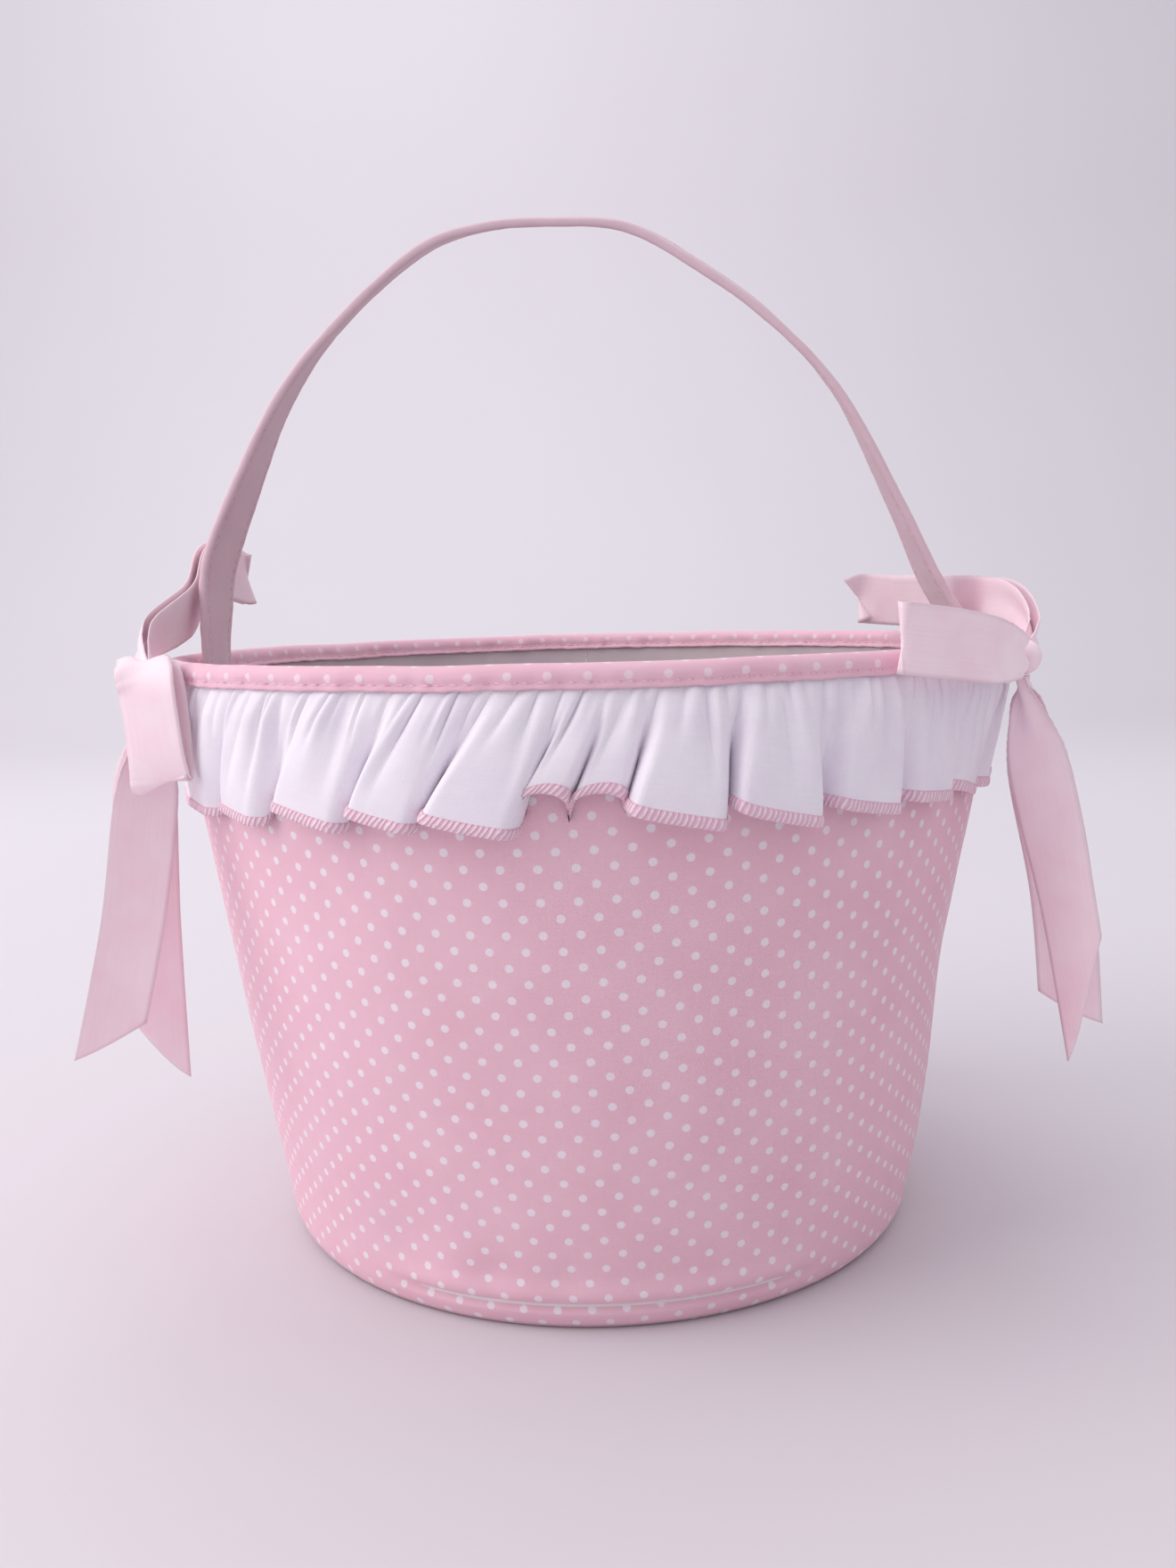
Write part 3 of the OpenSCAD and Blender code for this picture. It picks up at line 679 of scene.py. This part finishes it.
# Edges of the hem's folds in degrees from the front; those round the back are uneven at random
HEM_VALLEYS = [-78, -66, -53, -41, -28, -18.7, -7.7, -2.5, 3.7, 14.7, 26.5, 39, 51, 62, 74]
while HEM_VALLEYS[-1] < 282 - 14:
    HEM_VALLEYS.append(HEM_VALLEYS[-1] + random.uniform(7.5, 13))
HEM_VALLEYS.append(282)
HEM_HEIGHT = [random.uniform(0.6, 1.0) for _ in HEM_VALLEYS]
HEM_SKEW = [random.uniform(-0.35, 0.35) for _ in HEM_VALLEYS]
# How far each fold's hem slopes down to the right, and the two narrow folds that arch up instead
HEM_SLOPE = [random.uniform(3.5, 8) for _ in HEM_VALLEYS]
HEM_ARCH = {-7.7: 8.0, -2.5: 7.0}
RUFFLE_TOP = BINDING_Z + 2
HEM_COLS = 1200
RUFFLE_LENGTH = 1150
RUFFLE_DROP = 36


def hem_z(t):
    """Height of the hem, lower at the sides than at the front"""
    front = (1 + math.cos(t)) / 2
    return 121.5 + 9.0 * front ** 1.5 + 1.2 * grain(3 * math.sin(t), 3 * math.cos(t), 9.0)


def lean(t):
    """How far the folds lean to the left between top and hem, in radians"""
    left = ease(math.radians(25), math.radians(-12), t) * ease(math.radians(-88), math.radians(-45), t)
    return 0.14 * left + 0.03 * grain(4 * math.sin(t), 4 * math.cos(t), 2.0)


def hem_fold(t):
    """(phase, strength) of the hem's fold at angle t"""
    degrees = (math.degrees(t) + 78) % 360 - 78
    k = min(max(bisect.bisect_right(HEM_VALLEYS, degrees) - 1, 0), len(HEM_VALLEYS) - 2)
    share = (degrees - HEM_VALLEYS[k]) / (HEM_VALLEYS[k + 1] - HEM_VALLEYS[k])
    share += HEM_SKEW[k] * share * (1 - share)
    width = math.radians(HEM_VALLEYS[k + 1] - HEM_VALLEYS[k])
    arch = HEM_ARCH.get(HEM_VALLEYS[k], 0)
    slope = 0 if arch else HEM_SLOPE[k]
    return share, HEM_HEIGHT[k], width, slope, arch


def ruffle_point(tau, s):
    """Point of the ruffle that left the binding at angle tau, at share s of the way down"""
    shift = lean(tau)
    hem_t = tau - shift
    t = tau - shift * s
    share, strength, width, slope, arch = hem_fold(hem_t)
    bow = max(0, math.cos(t - BOW_T), math.cos(t + BOW_T)) ** 6
    reach = (12.5 - 9 * bow) * strength * min(1, width / 0.16)
    open_up = ease(0.05, 1.0, s) ** 0.75
    crown = ease(0, 0.26, share) * (1 - ease(0.7, 1.0, share))
    hem = reach * crown ** 0.85 * open_up
    # Gathers at the top: fine pleats that run out into wider ones on the way down
    wander = 2.5 * grain(3 * math.sin(tau), 3 * math.cos(tau), 4.0)
    fine = abs(math.sin(84 * tau + 3 * wander + 2 * grain(30 * math.sin(tau), 30 * math.cos(tau), 1)))
    wide = abs(math.sin(43 * tau + 2 * wander + 1.5 * grain(12 * math.sin(tau), 12 * math.cos(tau), 6)))
    size = 0.75 + 0.5 * grain(20 * math.sin(tau), 20 * math.cos(tau), 12.0)
    small = 1.6 * size * fine ** 0.7 * ease(0.03, 0.12, s) * (1 - ease(0.16, 0.55, s))
    medium = 2.0 * size * wide ** 0.8 * ease(0.05, 0.28, s) * (1 - ease(0.4, 0.95, s))
    fall = ease(0, 0.86, share) if share < 0.86 else 1 - ease(0.86, 1.0, share)
    lift = (slope * (0.5 - fall) + arch * math.sin(math.pi * share) ** 0.6) * s * s * (1 - 0.7 * bow)
    z = RUFFLE_TOP - s * (RUFFLE_TOP - hem_z(hem_t)) + lift
    inner = 0.45 + 0.25 * fine * (1 - ease(0.03, 0.12, s))
    r = wall_r(z) + sway(t, z) + inner + hem + small + medium
    # Folds close up a little at their foot, so that each one bellies over its neighbour
    belly = 0.19 * width * math.sin(TURN * share) * open_up * strength * (1 - bow)
    curl = 0.5 * ease(0.82, 1.0, s) * grain(9 * math.sin(t), 9 * math.cos(t), 15.0)
    return turned(t - belly, r + 1.2 * curl, z)


def ruffle_place(u, v):
    return ruffle_point((u - 0.5) * TURN, 1 - v)


ruffle = cloth("gathered_ruffle", HEM_COLS, 32, ruffle_place,
               lambda u, v: ((u - 0.5) * RUFFLE_LENGTH, v * RUFFLE_DROP), ring=True)
dress(thicken(ruffle, 0.35, 0), RUFFLE_CLOTH, ["ruffle"])

# Overlocked edge: a soft thread band that wraps the cut hem
hem_ring = [ruffle_point((i / HEM_COLS - 0.5) * TURN, 1) for i in range(HEM_COLS + 1)]
above_ring = [ruffle_point((i / HEM_COLS - 0.5) * TURN, 0.93) for i in range(HEM_COLS + 1)]
hem_length = [0.0]
for i in range(HEM_COLS):
    hem_length.append(hem_length[-1] + (hem_ring[i + 1] - hem_ring[i]).length)
HEM_SECTION = ((-2.7, 0.22), (-2.4, 0.5), (-1.6, 0.62), (-0.8, 0.62), (-0.1, 0.5), (0.2, 0.0),
               (-0.1, -0.5), (-0.8, -0.62), (-1.6, -0.62), (-2.4, -0.5), (-2.7, -0.22))
HEM_V = (0.3, 0.6, 1.1, 1.7, 2.3, 2.8, 2.3, 1.7, 1.1, 0.6, 0.3)


def overlock_place(u, v):
    i = round(u * HEM_COLS) % HEM_COLS
    down = (hem_ring[i] - above_ring[i]).normalized()
    along = (hem_ring[(i + 2) % HEM_COLS] - hem_ring[i - 2]).normalized()
    out = along.cross(-down).normalized()
    drop, push = HEM_SECTION[round(v * 11) % 11]
    wobble = 1 + 0.25 * grain(hem_length[i] * 0.9, v, 3.0)
    return hem_ring[i] + down * drop + out * push * wobble


overlock = cloth("overlocked_hem", HEM_COLS, 11, overlock_place,
                 lambda u, v: (hem_length[round(u * HEM_COLS)], HEM_V[round(v * 11) % 11]),
                 ring=True)
dress(close(overlock), OVERLOCK, ["ruffle_overlock"])

# ---- Strap handle ----

# Along the strap: share of the foot's distance, share of the rise, twist in degrees
STRAP = [(-1, 0, 0), (-1, 0.03, 0), (-0.995, 0.1, -2), (-0.98, 0.22, -5), (-0.92, 0.36, -3),
         (-0.79, 0.6, 5), (-0.64, 0.77, 11), (-0.42, 0.935, 12), (-0.25, 0.99, 14),
         (-0.06, 1, 15), (0.13, 0.985, 15), (0.3, 0.905, 15), (0.5, 0.775, 14), (0.68, 0.6, 11),
         (0.83, 0.345, 6), (0.925, 0.16, 2), (0.99, 0.06, 0), (1, 0.03, 0), (1, 0, 0)]


def spline(stations, share):
    """Smooth curve through a list of stations, share from 0 to 1"""
    n = len(stations) - 1
    i = min(int(share * n), n - 1)
    t = share * n - i
    a, b, c, d = (stations[min(max(i + k, 0), n)] for k in (-1, 0, 1, 2))
    return [0.5 * (2 * q + (r - p) * t + (2 * p - 5 * q + 4 * r - s) * t * t
                   + (3 * q - p - 3 * r + s) * t * t * t) for p, q, r, s in zip(a, b, c, d)]


def strap_end_path(side):
    """Centre line of the sewn-down end, from its cut end up to the hinge line: (x, z, wrap)"""
    low = STRAP_END_Z
    hold = STACK_T + 1.0
    return [(side * (wall_r(z) - hold - pull), z, wrap) for z, pull, wrap in
            ((low, 0, 1), (low + 5, 0, 1), (low + 10, 0.1, 1), (low + 14, 0.5, 0.9),
             (low + 18, 1.9, 0.6))] + [(side * (FOOT_X + 0.35), HINGE_Z - 2.4, 0.2)]


strap_line = [(x, z, 0.0, wrap) for x, z, wrap in strap_end_path(LEFT)]
STRAP_POINTS = 180
for i in range(STRAP_POINTS + 1):
    s = spline(STRAP, i / STRAP_POINTS)
    strap_line.append((s[0] * FOOT_X, HINGE_Z + s[1] * RISE, s[2], 0.0))
strap_line += [(x, z, 0.0, wrap) for x, z, wrap in reversed(strap_end_path(RIGHT))]
strap_run = [0.0]
for here, there in zip(strap_line, strap_line[1:]):
    strap_run.append(strap_run[-1] + math.dist(here[:2], there[:2]))
STRAP_LENGTH = strap_run[-1]


def strap_at(run):
    """(point, along, across, out, wrap) of the strap at this distance along it"""
    k = min(max(bisect.bisect_right(strap_run, run) - 1, 0), len(strap_line) - 2)
    gap = strap_run[k + 1] - strap_run[k]
    t = (run - strap_run[k]) / gap if gap else 0
    here, there = strap_line[k], strap_line[k + 1]
    x, z, twist, wrap = (a + (b - a) * t for a, b in zip(here, there))
    before, after = strap_line[max(k - 2, 0)], strap_line[min(k + 3, len(strap_line) - 1)]
    along = Vector((after[0] - before[0], 0, after[1] - before[1])).normalized()
    straight = Vector((0, 1, 0))
    out = along.cross(straight)
    turn = math.radians(twist)
    across = math.cos(turn) * straight + math.sin(turn) * out
    return Vector((x, 0, z)), along, across, along.cross(across), wrap


def strap_point(run, y, rise):
    """Point of the strap y across from its middle and rise out of its middle layer"""
    point, along, across, out, wrap = strap_at(run)
    point = point + across * y + out * rise
    if wrap > 0:
        inward = -1 if point.x > 0 else 1
        point.x += inward * wrap * y * y / (2 * wall_r(point.z))
    return point


def strap_face(run, y):
    """Half thickness of the strap here: padded between its stitch rows, pressed at them"""
    end = ease(0, 14, run) * ease(0, 14, STRAP_LENGTH - run)
    half = 0.95 + 0.25 * end
    gather = 0.5 + 0.5 * math.cos(TURN * run / 3.0)
    pressed = (0.22 + 0.12 * gather) * bump_at(abs(y), 10.0, 0.9)
    soft = 0.16 * grain(run / 9, y / 7, 2.0) + 0.1 * grain(run / 3, y / 3, 8.0)
    return half - pressed + soft


STRAP_FACE_Y = (11.9, 11.3, 10.8, 10.4, 10.0, 9.6, 9.0, 7.5, 5, 2.5, 0)
STRAP_FACE_Y = STRAP_FACE_Y + tuple(-y for y in reversed(STRAP_FACE_Y[:-1]))
strap_section = [(y, 1) for y in STRAP_FACE_Y]
strap_section += [(-12.35, 0.6), (-12.5, 0), (-12.35, -0.6)]
strap_section += [(-y, -1) for y in STRAP_FACE_Y]
strap_section += [(12.35, -0.6), (12.5, 0), (12.35, 0.6)]
SECTION_STEPS = len(strap_section)
STRAP_STEPS = 432


def strap_place(u, v):
    y, side = strap_section[round(u * SECTION_STEPS) % SECTION_STEPS]
    run = STRAP_LENGTH * v
    edge = 0.12 * grain(run / 6, y, 0.0)
    return strap_point(run, y * (1 + edge / 12.5), side * strap_face(run, y))


def strap_lay(u, v):
    k = round(u * SECTION_STEPS)
    y, side = strap_section[k % SECTION_STEPS]
    around = 13 - y if k < SECTION_STEPS / 2 else 39 + y
    return around, STRAP_LENGTH * v


def cap_ends(piece):
    """Fills the two open ends of a tube"""
    only(piece)
    bpy.ops.object.mode_set(mode="EDIT")
    bpy.ops.mesh.select_all(action="DESELECT")
    bpy.ops.mesh.select_mode(type="EDGE")
    bpy.ops.mesh.select_non_manifold()
    bpy.ops.mesh.edge_face_add()
    bpy.ops.mesh.select_all(action="SELECT")
    bpy.ops.mesh.normals_make_consistent(inside=False)
    bpy.ops.object.mode_set(mode="OBJECT")
    return piece


def bend_at_hinge(piece):
    """Bakes the piece's placement into its mesh; the strap gets no bend round its hinge line here"""
    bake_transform(piece)


strap = cloth("strap", SECTION_STEPS, STRAP_STEPS, strap_place, strap_lay, ring=True)
dress(cap_ends(strap), STRAP_CLOTH,
      ["handle_strap", "strap_foot_left", "strap_foot_right", "strap_end_left",
       "strap_end_right"], body=None)
bend_at_hinge(strap)

# The interfacing stops short of the strap's ends and of its stitch rows
CORE_INSET = 6
CORE_SHARE = 0.85
CORE_SECTION = ((10.5, 0.4), (5, 0.45), (-5, 0.45), (-10.5, 0.4), (-10.5, -0.4), (-5, -0.45),
                (5, -0.45), (10.5, -0.4))


def core_place(u, v):
    y, rise = CORE_SECTION[round(u * 8) % 8]
    run = CORE_INSET + (STRAP_LENGTH - 2 * CORE_INSET) * v
    return strap_point(run, y * CORE_SHARE, rise)


core = cloth("strap_interfacing", 8, 200, core_place, lambda u, v: (u * 46, v * STRAP_LENGTH),
             ring=True)
dress(cap_ends(core), FELT, ["handle_core"], body=None)
bend_at_hinge(core)

strap_rows = []
run = 4.0
while run < STRAP_LENGTH - 3:
    for y in (-10.0, 10.0):
        for side in (1, -1):
            point = strap_point(run, y, side * (strap_face(run, y) + 0.06))
            _, along, across, out, _ = strap_at(run)
            strap_rows.append((point, along, out * side))
    run += 3.0
row_stitches = sew("strap_stitches", strap_rows)
dress(row_stitches, THREAD, ["handle_topstitch"], body=None)
bend_at_hinge(row_stitches)


def tack_box(side):
    """Box of stitches through the strap's end, seen on its inner face"""
    start = 3.0
    tall = 9.0
    places = []
    corners = [(start, -8.5), (start, 8.5), (start + tall, 8.5), (start + tall, -8.5)]
    for (r0, y0), (r1, y1) in zip(corners, corners[1:] + corners[:1]):
        count = max(2, round(math.dist((r0, y0), (r1, y1)) / 2.9))
        for k in range(count):
            share = (k + 0.5) / count
            run = r0 + (r1 - r0) * share
            y = y0 + (y1 - y0) * share
            from_end = run if side == LEFT else STRAP_LENGTH - run
            point = strap_point(from_end, y, -strap_face(from_end, y) - 0.08)
            _, along, across, out, _ = strap_at(from_end)
            way = along * (r1 - r0) + across * (y1 - y0)
            places.append((point, way, -out))
    name = "left" if side == LEFT else "right"
    dress(sew("tack_" + name, places), THREAD, ["strap_tack_" + name])


tack_box(LEFT)
tack_box(RIGHT)

# ---- Bows ----

# Each bow sits this far round from the foot of the strap towards the front
BOW_TURN = math.radians(25)
ALONG = {side: Vector((-side * math.sin(BOW_TURN), -math.cos(BOW_TURN), 0))
         for side in (LEFT, RIGHT)}
OUT = {side: Vector((side * math.cos(BOW_TURN), -math.sin(BOW_TURN), 0))
       for side in (LEFT, RIGHT)}
UP = Vector((0, 0, 1))
# Half the length of a knot, where the loops leave it
K = 5.0


def bow_turned(side, v):
    """A direction of the bow's own frame (along the rim to the front, out, up) in the row frame"""
    return v[0] * ALONG[side] + v[1] * OUT[side] + v[2] * UP


def bow_point(side, p):
    return Vector(KNOT[side]) / MM + bow_turned(side, p)


def ribbon_piece(name, side, path, widths, cols, rows, cut=(0, 0), cup=0.0, seed=0.0):
    """Satin ribbon along a path of (point, width direction); cut shortens either edge of its end"""
    count = len(path) - 1
    run = [0.0]
    for a, b in zip(path, path[1:]):
        run.append(run[-1] + (b[0] - a[0]).length)
    total = run[-1]

    def frame_at(share):
        f = min(max(share, 0), 1) * count
        k = min(int(f), count - 1)
        t = f - k
        point = path[k][0].lerp(path[k + 1][0], t)
        before, after = path[max(k - 1, 0)][0], path[min(k + 2, count)][0]
        along = (after - before).normalized()
        across = path[k][1].lerp(path[k + 1][1], t)
        across = (across - across.dot(along) * along).normalized()
        return point, across, along.cross(across), widths(share), run[k] + (run[k + 1] - run[k]) * t

    def place(u, v):
        w = u - 0.5
        share = v * (1 - (cut[0] * (0.5 - w) + cut[1] * (0.5 + w)) / total)
        point, across, face, wide, _ = frame_at(share)
        pinch = 1 - wide
        ripple = pinch * 1.6 * math.sin(3 * math.pi * w + seed) + cup * (0.25 - w * w) * 4 * wide
        ripple += 0.35 * grain(share * total / 22, w * 1.2, seed) * wide
        return point + across * w * RIBBON_W * wide + face * ripple

    def lay(u, v):
        w = u - 0.5
        share = v * (1 - (cut[0] * (0.5 - w) + cut[1] * (0.5 + w)) / total)
        return w * RIBBON_W, frame_at(share)[4]

    piece = thicken(cloth(name, cols, rows, place, lay), RIBBON_T, 0)
    return piece, total


def tail(name, side, stations, cut, cup, seed):
    """Free end of the bow's ribbon, cut on a slant"""
    path = []
    share_of = []
    points = 60
    for i in range(points + 1):
        s = spline(stations, i / points)
        path.append((bow_point(side, s[:3]), bow_turned(side, s[3:6])))
        share_of.append(s[6])
    widths = lambda share: share_of[min(round(share * points), points)]
    piece, total = ribbon_piece(name + "_ribbon", side, path, widths, 12, 80, cut, cup, seed)
    dress(piece, SATIN, [name], name)


def loop(name, side, stations, puff, cup, seed):
    """Loop of the bow: the ribbon runs out along its stations and back again, puffed open"""
    path = []
    share_of = []
    open_angle = 24
    points = 96
    for i in range(points + 1):
        a = math.radians(open_angle + (360 - 2 * open_angle) * i / points)
        share = (1 - math.cos(a)) / 2
        s = spline(stations, share)
        ahead = Vector(spline(stations, min(share + 0.02, 1))[:3])
        behind = Vector(spline(stations, max(share - 0.02, 0))[:3])
        out = (ahead - behind).cross(Vector(s[3:6])).normalized()
        middle = Vector(s[:3]) + puff * math.sin(a) * out
        path.append((bow_point(side, middle), bow_turned(side, s[3:6])))
        share_of.append(s[6])
    widths = lambda share: share_of[min(round(share * points), points)]
    piece, total = ribbon_piece(name + "_ribbon", side, path, widths, 12, 120, (0, 0), cup, seed)
    dress(piece, SATIN, [name])


def knot(name, side):
    """Ribbon wrapped round the middle of the bow, gathered lengthwise round a round filling"""
    middle = Vector(KNOT[side]) / MM

    def place(u, v):
        a = u * TURN
        w = (v - 0.5) * 10.2
        full = KNOT_R * (1 - 0.5 * abs(w / 5.1) ** 5)
        pleat = 0.32 * math.sin(w * 2.4 + 0.8 * math.sin(a)) * bump_at(w, 0, 4)
        r = full - 0.35 + pleat + 0.2 * grain(math.sin(a) * 2, math.cos(a) * 2, w / 3 + side)
        if abs(w) > 5.0:
            r = 0.6
        return middle + ALONG[side] * w + (OUT[side] * math.cos(a) + UP * math.sin(a)) * r

    piece = cloth(name + "_ribbon", 48, 24, place, lambda u, v: ((v - 0.5) * 15, u * 28), ring=True)
    dress(cap_ends(piece), SATIN, [name])
    return piece


BELOW = KNOT_R + 0.5
knot("bow_left_knot", LEFT)
knot("bow_right_knot", RIGHT)
loop("bow_left_loop_front", LEFT,
     [(K, 1.5, 0.5, 0.2, -0.9, 0.2, 0.4), (K + 5, 3.2, 4, 0.5, -0.8, 0, 0.7),
      (K + 11, 2.4, 0, 0.69, -0.72, 0, 1), (K + 12, 1.6, -9, 0.69, -0.72, 0.1, 1),
      (K + 12, 1.2, -18, 0.65, -0.7, 0.25, 1), (K + 11, 0.8, -25, 0.6, -0.65, 0.4, 1)], 2.2, 0, 1)
loop("bow_left_loop_back", LEFT,
     [(-K, 0, 0, 0, 0, 1, 0.5), (-20, -1.5, 9, 0.3, -0.2, 0.9, 0.85),
      (-40.5, -17, 17.5, 0.3, -0.1, 0.95, 1), (-55, -25.5, 29, 0.5, 0.15, 0.85, 1),
      (-75, -41.5, 26.5, 0.3, 0.2, 0.93, 1)], 1.2, 0, 2)
loop("bow_right_loop_front", RIGHT,
     [(K, 0, -0.5, 0, 0, 1, 0.5), (K + 12, 0, 1, 0, 0, 1, 0.7), (34, -3, 3, 0.05, 0, 1, 0.95),
      (51, -9, 5.5, 0.12, 0, 1, 1), (66, -17, 7.5, 0.2, 0, 1, 1)], 2.5, 0, 3)
loop("bow_right_loop_back", RIGHT,
     [(-K, 0, 0, 0, 0, 1, 0.5), (-18, 0, 5, 0, 0, 1, 0.65), (-30, -7, 12.5, 0, 0, 1, 0.8),
      (-43, -18, 13.5, 0, 0, 1, 0.95), (-67, -33.5, 14, 0, -0.1, 1, 1),
      (-80, -49, 14.5, 0, -0.4, 0.9, 1), (-82, -63, 15.5, 0, -0.64, 0.77, 1)], 1.2, 0, 4)
tail("tail_left_front", LEFT,
     [(2.5, 0, -BELOW, 1, 0, 0, 0.25), (3, 1, -15, 0.35, 0.94, 0, 0.6),
      (3.5, 3.5, -30, 0.05, 1, 0, 1), (4, 9, -62, 0, 1, 0.1, 1), (4, 18, -98, 0, 1, 0.1, 1)],
     (9, 0), 0.8, 5)
tail("tail_left_back", LEFT,
     [(-2.5, 0, -BELOW, 1, 0, 0, 0.25), (-3, 1, -15, -0.35, 0.94, 0, 0.6),
      (-3.5, 3, -30, -0.05, 1, 0, 1), (-4, 4, -65, 0, 1, 0, 1), (-4, 4, -108, 0, 1, 0, 1)],
     (0, 14), -0.6, 6)
tail("tail_right_front", RIGHT,
     [(2.5, 0, -BELOW, 1, 0, 0, 0.25), (3, 1.5, -15, 0.35, 0.94, 0, 0.6),
      (4, 5, -29, 0.2, 0.98, 0, 1), (6.5, 12.5, -62, 0.4, 0.9, 0.1, 1),
      (7, 20, -104, 0.5, 0.85, 0.1, 1)], (0, 20), 0.8, 7)
tail("tail_right_back", RIGHT,
     [(-2.5, 0, -BELOW, 1, 0, 0, 0.25), (-3, 1, -15, -0.35, 0.94, 0, 0.6),
      (-3.5, 4, -30, -0.05, 1, 0, 1), (-5, 10, -62, -0.2, 1, 0, 1),
      (-5.5, 13, -98, -0.3, 1, 0, 1)], (8, 0), 0.5, 8)

# ---- Studio ----

bpy.ops.object.select_all(action="DESELECT")
bpy.ops.mesh.primitive_plane_add(size=6.0, location=(0, -1.6, 0))
paper = bpy.context.active_object
paper.name = "background_paper"
bpy.ops.object.transform_apply(location=True, rotation=True, scale=True)
bpy.ops.object.mode_set(mode="EDIT")
bpy.ops.mesh.select_mode(type="EDGE")
bpy.ops.mesh.select_all(action="DESELECT")
bpy.ops.object.mode_set(mode="OBJECT")
for edge in paper.data.edges:
    edge.select = all(paper.data.vertices[i].co.y > 1.3 for i in edge.vertices)
bpy.ops.object.mode_set(mode="EDIT")
bpy.ops.mesh.spin(steps=24, angle=-math.pi / 2, center=(0, 1.4, 0.9), axis=(1, 0, 0))
bpy.ops.mesh.extrude_region_move(TRANSFORM_OT_translate={"value": (0, 0, 2.5)})
bpy.ops.mesh.select_all(action="SELECT")
bpy.ops.mesh.normals_make_consistent(inside=False)
bpy.ops.object.mode_set(mode="OBJECT")
bpy.ops.object.shade_smooth()
paper.data.materials.append(studio_paper("background_paper", "#dddadf", "#d9d5da"))


def softbox(name, place, aim, size, power, tint):
    """Large square light that points at aim"""
    data = bpy.data.lights.new(name, "AREA")
    data.shape = "SQUARE"
    data.size = size
    data.energy = power
    data.color = colour(tint)[:3]
    lamp = bpy.data.objects.new(name, data)
    lamp.location = place
    way = Vector(aim) - Vector(place)
    lamp.rotation_mode = "QUATERNION"
    lamp.rotation_quaternion = way.to_track_quat("-Z", "Y")
    bpy.context.collection.objects.link(lamp)


softbox("key_softbox", (-1.5, -0.35, 0.95), (0, 0, 0.12), 1.6, 18, "#fffaf8")
softbox("top_softbox", (0.0, 0.15, 1.9), (0, 0, 0.1), 1.6, 8, "#fdfbff")
softbox("backdrop_softbox", (-0.4, 1.0, 1.7), (0, 2.3, 0.5), 1.2, 9, "#fdfdff")

world = bpy.data.worlds.new("studio")
bpy.context.scene.world = world
world.use_nodes = True
world.node_tree.nodes.clear()
glow = add(world.node_tree, "Background", {}, {"Color": colour("#f3f0f7"), "Strength": 0.73})
add(world.node_tree, "OutputWorld", {}, {"Surface": glow})

camera_data = bpy.data.cameras.new("camera")
camera_data.sensor_width = 36
camera_data.lens = 31.78
camera_data.clip_start = 0.01
camera = bpy.data.objects.new("camera", camera_data)
pitch, roll = 0.1338, -0.0263
right = Vector((1, 0, 0))
up = Vector((0, math.sin(pitch), math.cos(pitch)))
ahead = Vector((0, math.cos(pitch), -math.sin(pitch)))
level = math.cos(roll) * right + math.sin(roll) * up
upright = -math.sin(roll) * right + math.cos(roll) * up
camera.matrix_world = (Matrix.Translation((-0.00056, -0.40888, 0.17851))
                       @ Matrix((level, upright, -ahead)).transposed().to_4x4())
bpy.context.collection.objects.link(camera)
bpy.context.scene.camera = camera
bpy.context.scene.view_settings.view_transform = "Standard"
